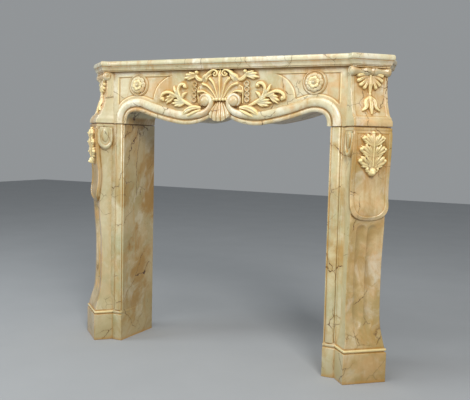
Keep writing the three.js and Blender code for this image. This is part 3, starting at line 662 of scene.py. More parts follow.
# %% Crown shell
frieze.shell((0, 97), [(86, 112), (88, 135), (73, 155), (50, 169), (25, 179), (0, 183)],
             [9, 8, 8, 9], 0.5, scallop=0.0)
SHELL_RIBS = [[(0, 98), (0, 135), (0, 178)], [(8, 98), (16, 128), (25, 152), (40, 168)],
              [(14, 97), (32, 124), (50, 142), (70, 149)], [(20, 94), (46, 112), (68, 122), (88, 120)]]
for path in SHELL_RIBS:
    frieze.stroke(path, [14, 20, 26, 32], [13, 16, 20, 21], crest_section, soft=0.6)
    frieze.stroke(path, [4, 6, 9, 13], [12, 14.5, 19, 19], lobe_section, soft=1.5)
frieze.stroke([(80, 142), (89, 137), (93, 122), (92, 100), (90, 80)], [5, 6, 6, 6, 5],
              [9, 11, 10, 9, 7])
frieze.stroke([(66, 158), (56, 176), (40, 193), (22, 199), (11, 190), (14, 180), (24, 179),
               (28, 186)], [20, 20, 17, 14, 12, 11, 10, 8], [10, 16, 20, 20, 19, 18, 17, 14])
frieze.dome((21, 188), 6, 19)
for path in ([(44, 186), (62, 178), (73, 165)], [(40, 184), (52, 172), (58, 156)]):
    frieze.stroke(path, [11, 15, 16, 9], [13, 19, 19, 11], lobe_section)
frieze.stroke([(4, 176), (9, 187), (8, 198)], [8, 10, 6], [13, 16, 10], lobe_section)
frieze.stroke([(0, 170), (0, 188), (0, 201)], [9, 12, 6], [14, 18, 10], lobe_section)
for s in (0, 13, 25):
    frieze.dome((s, 93), 8, 13)

# %% [markdown]
# On either side an acanthus spray grows from under the shell. A main stem runs out in a long
# curve and rolls back at its end, and a second stem rises from it. Small leaves are single
# strokes, and larger ones are fans of folds.

# %% Sprays
frieze.stroke([(84, 56), (120, 70), (160, 92), (195, 112), (225, 121), (248, 112), (253, 97),
               (244, 92)], [10, 13, 14, 13, 13, 14, 14, 11], [9, 11, 12, 12, 12, 13, 14, 12],
              lobe_section)
frieze.stroke([(158, 91), (174, 110), (179, 132), (169, 148), (152, 149), (147, 139)],
              [10, 13, 14, 14, 14, 10], [9, 11, 12, 12, 14, 12], lobe_section)
LEAVES = [
    ([(176, 108), (190, 124), (198, 143)], 14),
    ([(162, 96), (156, 111), (144, 119)], 13),
    ([(60, 173), (78, 164), (94, 170), (103, 184), (98, 195)], 17),
    ([(128, 71), (150, 84), (176, 86)], 15),
    ([(186, 102), (206, 105), (220, 97)], 13),
]
for stem, width in LEAVES:
    frieze.stroke(stem, [width * k for k in (0.5, 0.9, 1.05, 0.9, 0.4)], [8, 11, 12.5, 11.5, 8],
                  lobe_section, soft=1.0)
FANS = [
    # hub of each leaf and the tips of its folds
    ((146, 80), [(182, 101), (197, 93), (207, 79), (194, 68), (172, 65)]),
    ((196, 103), [(214, 113), (229, 104), (236, 88), (230, 76), (214, 82)]),
    ((98, 178), [(113, 194), (131, 196), (147, 187), (154, 170), (138, 164)]),
]
for hub, tips in FANS:
    frieze.shell(hub, tips, [9, 10, 12.5, 11.5], 3, scallop=0.2, soft=0.8)
frieze.dome((247, 97), 8, 15)
frieze.dome((151, 142), 7.5, 15)
frieze.dome((100, 193), 8, 15)

# %% [markdown]
# Where the torus of the arch rolls up into the large volutes a leaf wraps it. The volute's eye
# stands out of the spiral.

# %% Volute eyes and wrapping leaf
for path, width in (([(84, 63), (108, 62), (136, 52), (160, 33)], 26),
                    ([(82, 54), (104, 46), (126, 36), (142, 27)], 15)):
    frieze.stroke(path, [width * k for k in (0.5, 0.9, 1.05, 0.9, 0.25)],
                  [13, 19, 20, 18, 9], lobe_section, soft=0.8)
frieze.dome(VOLUTE_EYE, 20, 13, lift=11)
eye = np.hypot(frieze.s - VOLUTE_EYE[0], frieze.t - VOLUTE_EYE[1]) < 21
frieze_crest = np.where(eye, 0.54, frieze.crest(panel_ground))
frieze_height = blurred(frieze.h, 1) + panel_ground

# %% [markdown]
# The grid becomes one closed sheet. Cells beside the edge of the arch are left out, the border
# is drawn back by the depth of the frieze, and one face closes the back. The printed number of
# open edges has to be 0.

# %% Frieze mesh
FRIEZE_DEPTH = 14
EDGE_GAP = 2.2
rows, count = grid_s.shape
front = frieze_point(grid_s, grid_t, frieze_height).reshape(-1, 3)
index = np.arange(rows * count).reshape(rows, count)
quads = np.stack([index[:-1, :-1], index[:-1, 1:], index[1:, 1:], index[1:, :-1]], axis=-1)
solid = gap > EDGE_GAP
kept = solid[:-1, :-1] & solid[:-1, 1:] & solid[1:, 1:] & solid[1:, :-1]

mesh = bpy.data.meshes.new("header_frieze")
used, faces = np.unique(quads[kept], return_inverse=True)
mesh.from_pydata(front[used].tolist(), [], faces.reshape(-1, 4).tolist())
sheet = bmesh.new()
sheet.from_mesh(mesh)
level = sheet.verts.layers.float.new("crest")
for vert, value in zip(sheet.verts, frieze_crest.ravel()[used]):
    vert[level] = value
border = [edge for edge in sheet.edges if edge.is_boundary]
grown = bmesh.ops.extrude_edge_only(sheet, edges=border)["geom"]
back_y = float(metres(0, GROUND_Y + FRIEZE_DEPTH, 0)[1])
for vert in grown:
    if isinstance(vert, bmesh.types.BMVert):
        vert.co.y = back_y
        vert[level] = LEVEL
rim = [e for e in grown if isinstance(e, bmesh.types.BMEdge) and e.is_boundary]
bmesh.ops.contextual_create(sheet, geom=rim)
bmesh.ops.recalc_face_normals(sheet, faces=sheet.faces)
print("open edges of the frieze", sum(edge.is_boundary for edge in sheet.edges))
sheet.to_mesh(mesh)
sheet.free()
mesh.shade_smooth()
mesh.set_sharp_from_angle(angle=math.radians(75))
placed(bpy.data.objects.new("header_frieze", mesh), "header")

# %% [markdown]
# A second shell, upside down, hangs under the crown over the edge of the arch. It is a loft of
# rows that spread from a short top edge to a wide scalloped foot, and the foot curls forward.

# %% Hanging shell
part_across = np.linspace(-1, 1, 101)
part_down = np.linspace(0, 1, 46)[:, None]
rib = np.abs(np.cos(2.5 * math.pi * part_across)) ** 0.7
top_edge = 78 + 5 * rib - 8 * part_across ** 2
foot_edge = 13 + 25 * np.abs(part_across) ** 2.4 + 3 * (1 - rib)
shell_t = top_edge * (1 - part_down) + foot_edge * part_down
shell_s = part_across * (21 + 26 * np.sin(0.5 * math.pi * part_down) ** 0.9)
body = evenly([9, 13, 16, 19, 21, 19], part_down) * (1 - 0.35 * part_across ** 4)
shell_h = body - 6.5 * (1 - rib) * part_down ** 0.4
rim_fall = np.clip(1 - np.abs(part_across) ** 14, 0, 1) ** 0.5
hanging_front = frieze_point(shell_s, shell_t, shell_h * rim_fall)
hanging_back = frieze_point(shell_s[:, ::-1] * 0.98, shell_t, -9 + 10 * part_down ** 2 + 0 * shell_h)
level = np.ones_like(shell_h)
# Gold on the ribs and ochre between them: gilt and wash, with painted highlight and painted shade.
hanging_crest = np.concatenate([0.34 + 0.24 * rib * level, LEVEL * level], axis=1)
loft("header_hanging_shell", np.concatenate([hanging_front, hanging_back], axis=1), "header",
     hanging_crest, sharp=60)

# %% [markdown]
# Behind the frieze stands the body of the header, a prism with the outline of the opening. Its
# front lies a little behind the frieze's ground, so that no two faces share a plane.

# %% Header body
arch_line = np.vstack([arch_half, arch_half[-2::-1] * [-1, 1]])
end = STRIP_OUT + STRIP_LAP
outline = np.vstack([[(end, 0.6)], arch_line, [(-end, 0.6)], [(-end, 201.7)], [(end, 201.7)]])
body_rings = [metres(outline[:, 0], depth, LEG_HEIGHT + outline[:, 1])
              for depth in (GROUND_Y + 8, BODY_DEPTH)]
loft("header_body", body_rings, "header")

# %% [markdown]
# The torus runs up from the leg joint, along the arch and, without a break, into the spiral of
# the large volute, where it gets narrower and stands further out. It is swept in one length.

# %% Torus of the arch
def arch_normals(line):
    way = np.gradient(line, axis=0)
    way /= np.linalg.norm(way, axis=1)[:, None]
    return np.stack([way[:, 1], -way[:, 0]], axis=-1)


normal = arch_normals(arch_half)
torus_line = (arch_half + normal * 23)[arch_half[:, 0] > 196]
torus_line[0] = (HALF_OPENING + 23, 0.6)
CURL = [(185, 38), (160, 35), (130, 35), (100, 38), (75, 42), (57, 49), (44, 60), (37, 74),
        (38, 90), (46, 103), (60, 109), (73, 104), (80, 93), (79, 80), (71, 71)]
drawn = np.vstack([torus_line[::4], CURL])
torus_path = spline(drawn, 240)
run = np.linspace(0, 1, 240)
curl_start = np.argmax(torus_path[:, 0] < 170) / 240
torus_width = np.interp(run, [0, curl_start, 0.72, 0.8, 0.9, 1], [32, 32, 30, 27, 21, 10])
torus_rise = np.interp(run, [0, curl_start, 0.72, 0.8, 0.9, 1], [9.5, 9.5, 14, 18, 19, 14])
torus_rings = sweep_rings(torus_path, torus_width, torus_rise, arc_section(14, 4), frieze_point)
torus = loft("header_torus_right", torus_rings, "header", np.full(torus_rings.shape[:2], 0.55),
             sharp=0)
mirrored(torus, "header_torus_left", "header")

# %% [markdown]
# Geometry Nodes make what follows a path or repeats. The helpers here start a tree with named
# inputs, add its nodes, and close it with a finish. The result of a tree is realised and turned
# into a plain mesh.

# %% Geometry Nodes helpers
def new_tree(name, inputs):
    tree = bpy.data.node_groups.new(name, "GeometryNodeTree")
    for label, kind, default in inputs:
        socket = tree.interface.new_socket(label, in_out="INPUT", socket_type=kind)
        if default is not None:
            socket.default_value = default
    tree.interface.new_socket("Geometry", in_out="OUTPUT", socket_type="NodeSocketGeometry")
    return tree, tree.nodes.new("NodeGroupInput"), tree.nodes.new("NodeGroupOutput")


def tree_node(tree, kind, settings=None, **links):
    made = tree.nodes.new(kind)
    for key, value in (settings or {}).items():
        setattr(made, key, value)
    for key, value in links.items():
        socket = made.inputs[int(key[1:])] if key[0] == "_" else made.inputs[key]
        if isinstance(value, bpy.types.NodeSocket):
            tree.links.new(value, socket)
        else:
            socket.default_value = value
    return made


def finish_tree(tree, geometry, material, output):
    real = tree_node(tree, "GeometryNodeRealizeInstances", Geometry=geometry)
    smooth = tree_node(tree, "GeometryNodeSetShadeSmooth", Geometry=real.outputs[0])
    painted = tree_node(tree, "GeometryNodeSetMaterial", Geometry=smooth.outputs[0],
                        Material=material)
    tree.links.new(painted.outputs[0], output.inputs[0])


def run_tree(tree, name, values, slot):
    """A plain mesh piece made by a tree from the values of its named inputs."""
    host = bpy.data.objects.new(f"{name}_host", bpy.data.meshes.new(f"{name}_host"))
    bpy.context.scene.collection.objects.link(host)
    modifier = host.modifiers.new("tree", "NODES")
    modifier.node_group = tree
    sockets = {item.name: item.identifier for item in tree.interface.items_tree
               if item.in_out == "INPUT"}
    for label, value in values.items():
        modifier[sockets[label]] = value
    shown = host.evaluated_get(bpy.context.evaluated_depsgraph_get())
    mesh = bpy.data.meshes.new_from_object(shown)
    host.modifiers.remove(modifier)
    bpy.data.objects.remove(host)
    mesh.name = name
    known = "crest" in mesh.attributes
    finished(mesh, None if known else np.full(len(mesh.vertices), LEVEL))
    return placed(bpy.data.objects.new(name, mesh), slot)


HELPERS = []


def helper_object(name, points, edges=(), faces=()):
    """An object that a tree reads; it is removed once the trees have run."""
    mesh = bpy.data.meshes.new(name)
    mesh.from_pydata(np.asarray(points, float).tolist(), edges, faces)
    made = bpy.data.objects.new(name, mesh)
    bpy.context.scene.collection.objects.link(made)
    HELPERS.append(made)
    return made


# %% [markdown]
# The thin lip at the edge of the opening keeps one section all along. Its tree turns a path and a
# profile into curves and sweeps the profile along the path.

# %% Moulding tree
moulding_tree, given, result = new_tree("moulding_along_path", [
    ("Path", "NodeSocketObject", None), ("Profile", "NodeSocketObject", None),
    ("Finish", "NodeSocketMaterial", None)])
path_info = tree_node(moulding_tree, "GeometryNodeObjectInfo", Object=given.outputs["Path"])
profile_info = tree_node(moulding_tree, "GeometryNodeObjectInfo", Object=given.outputs["Profile"])
path_curve = tree_node(moulding_tree, "GeometryNodeMeshToCurve", Mesh=path_info.outputs["Geometry"])
profile_curve = tree_node(moulding_tree, "GeometryNodeMeshToCurve",
                          Mesh=profile_info.outputs["Geometry"])
swept = tree_node(moulding_tree, "GeometryNodeCurveToMesh", {"name": "Sweep"})
moulding_tree.links.new(path_curve.outputs[0], swept.inputs["Curve"])
moulding_tree.links.new(profile_curve.outputs[0], swept.inputs["Profile Curve"])
swept.inputs["Fill Caps"].default_value = True
finish_tree(moulding_tree, swept.outputs[0], given.outputs["Finish"], result)

# %% [markdown]
# The finish comes before the parts that need it. The cast is primed in cream, clouded with tan,
# peach and grey green, veined by hand with a fine brush, rubbed with a brown wash that stays in
# the recesses, and varnished. The shader repeats those coats in that order, and paints light and
# shade with them too: the wash deepens where the occlusion finds recesses, as painted shade, and
# the gold cream on crests is also a painted highlight. Its sums are written as Python expressions
# on a small class that wraps a socket.

# %% Shader sums
class Tone:
    """A socket that can be used in sums."""

    def __init__(self, shop, socket):
        self.shop, self.socket = shop, socket

    def sum(self, operation, first, second):
        return self.shop.node("ShaderNodeMath", {"operation": operation}, {0: first, 1: second})

    def __add__(self, other):
        return self.sum("ADD", self, other)

    def __mul__(self, other):
        return self.sum("MULTIPLY", self, other)

    def __sub__(self, other):
        return self.sum("SUBTRACT", self, other)

    def __rsub__(self, other):
        return self.sum("SUBTRACT", other, self)

    def __truediv__(self, other):
        return self.sum("DIVIDE", self, other)


class Shop:
    """Builds the nodes of one material."""

    def __init__(self, name):
        self.material = bpy.data.materials.new(name)
        self.material.use_nodes = True
        self.tree = self.material.node_tree
        self.tree.nodes.clear()

    def node(self, kind, settings=None, sockets=None, output=0):
        made = self.tree.nodes.new(kind)
        for key, value in (settings or {}).items():
            setattr(made, key, value)
        for key, value in (sockets or {}).items():
            if isinstance(value, Tone):
                self.tree.links.new(value.socket, made.inputs[key])
            else:
                made.inputs[key].default_value = value
        return Tone(self, made.outputs[output]) if len(made.outputs) else made

    def noise(self, where, scale, detail=3.0, rough=0.55, distortion=0.0, output=0):
        return self.node("ShaderNodeTexNoise", None, {
            "Vector": where, "Scale": scale, "Detail": detail, "Roughness": rough,
            "Distortion": distortion}, output)

    def step(self, value, low, high):
        return self.node("ShaderNodeMapRange", {"interpolation_type": "SMOOTHSTEP"}, {
            "Value": value, "From Min": low, "From Max": high})

    def mix(self, part, first, second):
        return self.node("ShaderNodeMix", {"data_type": "RGBA"}, {0: part, 6: first, 7: second}, 2)

    def shift(self, where, amount):
        return self.node("ShaderNodeVectorMath", {"operation": "ADD"}, {0: where, 1: amount})

    def scaled(self, where, by):
        return self.node("ShaderNodeVectorMath", {"operation": "MULTIPLY"}, {0: where, 1: by})

    def warp(self, where, scale, amount):
        """The place moved about by a noise, so that patterns don't look ruled."""
        cloud = self.noise(where, scale, 4.0, output="Color")
        middle = self.shift(cloud, (-0.5, -0.5, -0.5))
        push = self.node("ShaderNodeVectorMath", {"operation": "SCALE"},
                         {0: middle, "Scale": amount})
        return self.shift(where, push)


def tint(red, green, blue):
    """A paint colour as the eye mixes it, from 0 to 255, in linear light."""
    return tuple((c / 255) ** 2.2 for c in (red, green, blue)) + (1.0,)


# %% [markdown]
# Each casting gets its own share of the tints and its own place in the clouds, so that no two of
# them look alike. Faces that look straight along the wall take more tan, which is painted shade as
# in the reveal, and faces that look towards the middle take a pale green, partly the paint's tone
# and partly painted cool light. The gold cream goes on the crests of the carving, as gilt and as a
# painted highlight.

# %% Painted onyx finish
CREAM = tint(210, 198, 160)
PALE_CREAM = tint(222, 214, 180)
LEG_CREAM = tint(214, 200, 156)
PALE_LEG = tint(212, 202, 164)
PEACH_CREAM = tint(226, 198, 150)
TAN = tint(180, 148, 88)
PEACH = tint(218, 172, 118)
# Tan for dark smears, and painted shade on faces that look along the wall, such as the reveal.
TAN_SMEAR_AND_SHADE = tint(170, 130, 66)
GREY_GREEN = tint(180, 178, 138)
# Pale green for faces that look towards the middle, partly the paint's tone and partly painted cool
# light.
SIDE_GREEN = tint(206, 204, 166)
MILK = tint(238, 234, 214)
VEIN = tint(82, 46, 18)
OCHRE = tint(184, 132, 54)
# A brown wash that stays in recesses, and painted shade there too.
WASH_AND_SHADE = tint(96, 62, 24)
# A tint for painted shade that darkens the pieces towards the floor.
SHADE_NEAR_FLOOR = tint(148, 130, 84)
# Gold for crests, partly gilt and partly a painted highlight.
GOLD_AND_HIGHLIGHT = tint(253, 232, 168)


def painted_onyx(name, cream, tan_share, seed, green=0.65, milk_share=0.6, peach=0.5, veins=1.0):
    """Cream to tan clouds, grey-green and milky patches, brown veins, wash and varnish."""
    shop = Shop(name)
    place = shop.shift(shop.node("ShaderNodeTexCoord", output="Object"), (seed, seed * 0.7, 0.0))
    drift = shop.warp(place, 3.0, 0.22)
    cloud = shop.noise(drift, 5.5, 5.0, 0.6)
    streak = shop.noise(shop.shift(drift, (4.0, 1.0, 2.0)), 9.0, 6.0, 0.62, 0.8)
    mottle = shop.noise(place, 95.0, 4.0, 0.6)
    color = shop.mix(shop.step(cloud, 0.66 - tan_share, 0.84 - tan_share), cream, TAN)
    color = shop.mix(shop.step(streak, 0.46, 0.62) * peach, color, PEACH)
    color = shop.mix(shop.step(shop.noise(drift, 4.2, 4.0), 0.44, 0.62) * green, color, GREY_GREEN)
    milk = shop.step(shop.noise(shop.shift(drift, (9.0, 3.0, 5.0)), 8.0, 6.0, 0.65), 0.54, 0.7)
    color = shop.mix(milk * milk_share, color, MILK)
    color = shop.mix(shop.step(mottle, 0.35, 0.75) * 0.22, color, TAN)
    # Faces that look along the wall, as the reveal of the opening does, are painted darker tan as
    # painted shade.
    facing = shop.node("ShaderNodeSeparateXYZ", None,
                       {0: shop.node("ShaderNodeNewGeometry", output="Normal")}, "X")
    half = shop.node("ShaderNodeMath", {"operation": "SIGN"}, {0: shop.node(
        "ShaderNodeSeparateXYZ", None, {0: shop.node("ShaderNodeTexCoord", output="Object")}, "X")})
    sideways = shop.step(facing * facing, 0.85, 0.98)
    inward = shop.step(0.0 - facing * half, 0.5, 0.7) * (1.0 - sideways)
    color = shop.mix(sideways * 0.4, color, TAN_SMEAR_AND_SHADE)

    long = shop.scaled(shop.warp(place, 7.0, 0.03), (1.0, 1.0, 0.12))
    runs = shop.step(shop.noise(long, 34.0, 4.0, 0.6), 0.5, 0.68)
    color = shop.mix(runs * 0.45, color, OCHRE)
    slanted = shop.node("ShaderNodeVectorRotate", {"rotation_type": "AXIS_ANGLE"}, {
        "Vector": drift, "Axis": (1.0, 0.4, 0.0), "Angle": 0.6})
    drawn_out = shop.scaled(slanted, (1.0, 1.0, 0.36))
    smears = shop.step(shop.noise(drawn_out, 16.0, 6.0, 0.65), 0.5, 0.66)
    color = shop.mix(smears * milk_share * 0.7, color, MILK)
    # Dark smears are the paint's own; on faces that look along the wall they are made stronger as
    # painted shade.
    dark = shop.noise(shop.shift(drawn_out, (1.0, 6.0, 3.0)), 11.0, 6.0, 0.65)
    dark_smears = shop.step(dark, 0.5, 0.64)
    color = shop.mix(dark_smears * (sideways * 0.6 + tan_share * 1.5), color, TAN_SMEAR_AND_SHADE)

    # Faces towards the middle take pale green: partly the paint's tone, partly painted cool light.
    color = shop.mix(inward * 0.55, color, SIDE_GREEN)

    crooked = shop.warp(shop.warp(shop.warp(place, 9.0, 0.06), 34.0, 0.018), 120.0, 0.004)
    crooked = shop.node("ShaderNodeVectorRotate", {"rotation_type": "AXIS_ANGLE"}, {
        "Vector": crooked, "Axis": (1.0, 0.4, 0.0), "Angle": 0.6})
    lines = shop.node("ShaderNodeTexVoronoi", {"feature": "DISTANCE_TO_EDGE"},
                      {"Vector": shop.scaled(crooked, (1.3, 1.3, 0.7)), "Scale": 5.0})
    thick = shop.noise(place, 40.0, 3.0) * 0.022 - 0.004
    where = shop.step(shop.noise(shop.shift(place, (2.0, 7.0, 1.0)), 5.5, 2.0), 0.48, 0.54)
    vein = (1.0 - shop.step(lines / thick, 0.35, 1.0)) * where * veins
    fine_lines = shop.node("ShaderNodeTexVoronoi", {"feature": "DISTANCE_TO_EDGE"},
                           {"Vector": shop.shift(crooked, (3.0, 3.0, 3.0)), "Scale": 12.0})
    fine_where = shop.step(shop.noise(shop.shift(place, (5.0, 2.0, 8.0)), 6.0, 2.0), 0.55, 0.6)
    fine = (1.0 - shop.step(fine_lines, 0.0, 0.018)) * fine_where * (0.7 * veins)
    halo = (1.0 - shop.step(lines, 0.0, 0.05)) * where * (0.25 * veins)
    color = shop.mix(halo, color, TAN)
    color = shop.mix(fine, color, VEIN)
    color = shop.mix(vein, color, VEIN)

    # Painted shade: the colour grows darker towards the floor.
    rise = shop.node("ShaderNodeSeparateXYZ", None,
                     {0: shop.node("ShaderNodeTexCoord", output="Object")}, "Z")
    shade_near_floor = (1.0 - shop.step(rise + shop.noise(place, 12.0, 3.0) * 0.12, 0.02, 0.42)) * 0.45
    color = shop.mix(shade_near_floor, color, SHADE_NEAR_FLOOR)
    # The ochre and the dark wash follow the occlusion and the low crests: partly a brown wash kept in
    # the recesses, partly painted shade. The gold cream on high crests is partly gilt, partly painted
    # highlight.
    crest = shop.node("ShaderNodeAttribute", {"attribute_name": "crest"}, output="Fac")
    hollow = shop.node("ShaderNodeAmbientOcclusion", {"samples": 8}, {"Distance": 0.022}, "AO")
    rub = shop.noise(place, 24.0, 4.0, 0.6)
    worn = shop.step(rub, 0.25, 0.6) * 0.5 + 0.5
    dip = 1.0 - shop.step(crest, 0.3, 0.5)
    ochre = shop.step((1.0 - shop.step(hollow, 0.45, 0.98)) + dip * 0.7, 0.1, 1.0) * worn
    low = shop.step((1.0 - shop.step(hollow, 0.1, 0.7)) + (1.0 - shop.step(crest, 0.0, 0.34)) * 0.6,
                    0.25, 1.1)
    color = shop.mix(ochre * 0.75, color, OCHRE)
    color = shop.mix(low * 0.65, color, WASH_AND_SHADE)
    color = shop.mix(shop.step(crest, 0.58, 0.92) * 0.9, color, GOLD_AND_HIGHLIGHT)

    relief = mottle * 0.5 + shop.noise(place, 420.0, 3.0) * 0.5 + shop.noise(place, 28.0, 3.0) * 1.6
    bump = shop.node("ShaderNodeBump", None, {"Strength": 0.16, "Distance": 0.004,
                                              "Height": relief})
    rough = shop.noise(place, 16.0, 4.0) * 0.22 + low * 0.3 + 0.2
    stone = shop.node("ShaderNodeBsdfPrincipled", None, {
        "Base Color": color, "Roughness": rough, "Normal": bump, "IOR": 1.5,
        "Coat Weight": 0.45, "Coat Roughness": 0.2})
    shop.node("ShaderNodeOutputMaterial", None, {"Surface": stone})
    return shop.material


FINISHES = {
    "leg_left": painted_onyx("onyx_leg_left", PALE_LEG, 0.22, 3.3, 0.85, 0.4, 0.2),
    "leg_right": painted_onyx("onyx_leg_right", LEG_CREAM, 0.24, 11.4, 0.75, 0.4, 0.35),
    "header": painted_onyx("onyx_header", CREAM, 0.16, 1.7, 0.5, 0.5, 0.6, 0.9),
    "shelf": painted_onyx("onyx_shelf", PALE_CREAM, 0.02, 5.3, 0.5, 0.9, 0.35, 0.7),
}
OWN_FINISHES = {
    # pieces whose names end so are painted apart from the rest of their casting
    ("strap", "shaft", "cap"): painted_onyx(
        "onyx_console_fronts", PEACH_CREAM, 0.3, 7.7, 0.2, 0.4, 0.7),
    ("block_right", "block_left"): painted_onyx(
        "onyx_end_blocks", PEACH_CREAM, 0.1, 2.9, 0.3, 0.6, 0.8),
    ("torus_right", "torus_left"): painted_onyx(
        "onyx_arch_torus", PALE_CREAM, 0.15, 6.1, 0.35, 0.9, 0.7),
}
print("finishes", sorted(FINISHES))

# %% [markdown]
# The lip follows the whole outline of the opening. Its closed profile starts well behind the
# ground of the frieze, which hides the left-out cells.

# %% Lip of the arch
lip_path = helper_object("lip_path", frieze_point(arch_line[:, 0], arch_line[:, 1], 0),
                         [(i, i + 1) for i in range(len(arch_line) - 1)])


def profile_object(name, rows):
    """A closed profile of (out from the edge, off the ground) rows in millimetres."""
    points = [(out * MM, rise * MM, 0) for out, rise in rows]
    return helper_object(name, points, [(i, (i + 1) % len(points)) for i in range(len(points))])


lip_profile = profile_object("lip_profile", [(0, -11), (0, 1.2), (0.5, 2.4), (1.6, 3.2), (2.8, 3.4),
                                             (4, 2.8), (5, 1.6), (6, 0.4), (6.6, -1), (6.6, -11)])
lip = run_tree(moulding_tree, "header_lip", {"Path": lip_path, "Profile": lip_profile,
                                             "Finish": FINISHES["header"]}, "header")
print("lip box", [tuple(round(v, 4) for v in c) for c in (lip.bound_box[0], lip.bound_box[6])])

# %% [markdown]
# The end blocks repeat the console's plan at a smaller reach and carry two half shells with a
# leaf between them, a bead and a bellflower. They are lofts with the relief on their front.

# %% End block
block_up = np.concatenate([[0.5, 1.8, 2.0, 3.0], np.arange(4, 201, CELL), [201.7]])
half_block = np.interp(block_up, *np.transpose(BLOCK_INSET))
block_reach = smooth_table(BLOCK_PROFILE, block_up)
block_reach[block_up > 196.5] = 44
front_part = np.linspace(-1, 1, FRONT_POINTS)
block_s = front_part * (BASE_WIDTH / 2 - half_block - CORNER)[:, None]
carving = Relief(block_s, np.repeat(block_up[:, None], FRONT_POINTS, 1))
edge = BLOCK_WIDTH / 2 - BORDER
ground = 2.2 * (1 - ramp(edge - carving.s, 0, 2.2) * ramp(carving.t, 32, 35))
carving.dome((0, 92), 11, 13, stretch=1.3)
carving.stroke([(5, 98), (15, 84), (17, 67), (30, 55)], [11, 19, 20, 15, 7], [9, 13, 14, 13, 10],
               lobe_section, soft=0.8)
carving.stroke([(0, 99), (0, 74), (0, 45)], [9, 20, 20, 8], [12, 16, 15, 10], lobe_section, soft=0.8)
for tip, bend in (((42, 171), (24, 174)), ((41, 155), (26, 163)), ((33, 141), (21, 152)),
                  ((20, 132), (13, 146))):
    carving.stroke([(6, 168), bend, tip], [6, 11, 15, 16], [8, 11, 14, 14], lobe_section, soft=0.5)
carving.stroke([(0, 172), (0, 146), (0, 114)], [12, 22, 9], [11, 16, 10], lobe_section)
carving.dome((0, 109), 6, 10)
block_crest = carving.crest(ground - 2)
# Its lowest rows take the lowest crest, which paints shade into the joint over the leg.
block_crest[:2] = 0
block_height = blurred(carving.h, 1) + ground - 2
block_rings, crest_rows = [], []
for i, up in enumerate(block_up):
    squeeze = float(np.interp(up, [1.8, 2.0, 3.0], [3.6, 0.8, 0]))
    ring = console_ring(float(block_reach[i]) - squeeze, float(half_block[i]) + squeeze,
                        LEG_HEIGHT + up, block_height[i])
    block_rings.append(ring)
    pad = len(ring) - FRONT_POINTS
    crest_rows.append(np.concatenate([np.full(6, 0.5), block_crest[i], np.full(pad - 6, 0.5)]))
end_block = loft("header_block_right", block_rings, "header", np.array(crest_rows), sharp=60)
mirrored(end_block, "header_block_left", "header")

# %% [markdown]
# Under each canted end of the shelf lies a turned roll with swollen ends, as if it were a rolled
# leaf. Shallow flutes around it give the leaf's folds.

# %% Roll
ROLL_RADIUS = 16.5
ROLL_REACH = 30.5
ROLL_UP = LEG_HEIGHT + HEADER_HEIGHT - 16.8
ROLL = [(0.55, 0.02), (0.55, 0.4), (0.545, 0.66), (0.525, 0.88), (0.49, 1), (0.44, 0.97),
        (0.38, 0.82), (0.3, 0.7), (0.21, 0.8), (0.12, 0.98), (0.04, 0.9), (0, 0.8)]
roll_half = spline([(s * BLOCK_WIDTH, r * ROLL_RADIUS) for s, r in ROLL], 46)
roll_line = np.vstack([roll_half, roll_half[-2::-1] * [-1, 1]])
angles = np.linspace(0, 2 * math.pi, 49)[:-1]
folds = 1 + 0.035 * np.cos(12 * angles)[None] * ramp(60 - np.abs(roll_line[:, :1]), 0, 12)
radius = np.clip(roll_line[:, 1:] * folds, 0.3, 16.4)
roll_rings = console_point(BASE_WIDTH / 2 + roll_line[:, :1] + 0 * angles,
                           ROLL_REACH + radius * np.cos(angles),
                           ROLL_UP + radius * np.sin(angles))
# The thick parts of the roll are painted a little lighter and its necks darker: painted highlight and
# shade.
roll_crest = 0.51 + (radius / ROLL_RADIUS - 0.8) * 0.3
roll = loft("header_roll_right", roll_rings, "header", np.clip(roll_crest, 0.2, 0.8), sharp=0)
mirrored(roll, "header_roll_left", "header")
curl_angle = np.linspace(0.3 * math.pi, 3.2 * math.pi, 60)
curl_radius = np.linspace(11.5, 2, 60)
curl_path = np.stack([ROLL_REACH + curl_radius * np.cos(curl_angle),
                      ROLL_UP + curl_radius * np.sin(curl_angle)], axis=-1)
for side, label in ((-1, "near"), (1, "far")):
    def on_end(s, t, h, side=side):
        return console_point(BASE_WIDTH / 2 + side * (0.54 * BLOCK_WIDTH + h), s, t)

    curl = loft(f"header_roll_curl_{label}_right",
                sweep_rings(curl_path, [5, 5, 4, 3], [2.4, 2.6, 2.6, 2.4], arc_section(6, 3), on_end),
                "header", sharp=0)
    mirrored(curl, f"header_roll_curl_{label}_left", "header")

# %% [markdown]
# Petals and husks repeat, so one of each kind is modelled and Geometry Nodes set copies of it.
# The petals of a rosette stand in two rings, an outer one of leaves and an inner one of petals.

# %% Ring tree
ring_tree, given, result = new_tree("ring_of_petals", [
    ("Petal", "NodeSocketObject", None), ("Petals", "NodeSocketInt", 8),
    ("Centre", "NodeSocketVector", None), ("Turn", "NodeSocketFloat", 0.0),
    ("Finish", "NodeSocketMaterial", None)])
which = tree_node(ring_tree, "GeometryNodeInputIndex")
share = tree_node(ring_tree, "ShaderNodeMath", {"operation": "DIVIDE"},
                  _0=which.outputs[0], _1=given.outputs["Petals"])
angle = tree_node(ring_tree, "ShaderNodeMath", {"operation": "MULTIPLY_ADD"},
                  _0=share.outputs[0], _1=2 * math.pi, _2=given.outputs["Turn"])
turned = tree_node(ring_tree, "ShaderNodeCombineXYZ", Y=angle.outputs[0])
spin = tree_node(ring_tree, "FunctionNodeEulerToRotation", _0=turned.outputs[0])
spots = tree_node(ring_tree, "GeometryNodePoints", Count=given.outputs["Petals"],
                  Position=given.outputs["Centre"])
petal_info = tree_node(ring_tree, "GeometryNodeObjectInfo", Object=given.outputs["Petal"])
copies = tree_node(ring_tree, "GeometryNodeInstanceOnPoints", Points=spots.outputs[0],
                   Instance=petal_info.outputs["Geometry"], Rotation=spin.outputs[0])
finish_tree(ring_tree, copies.outputs[0], given.outputs["Finish"], result)


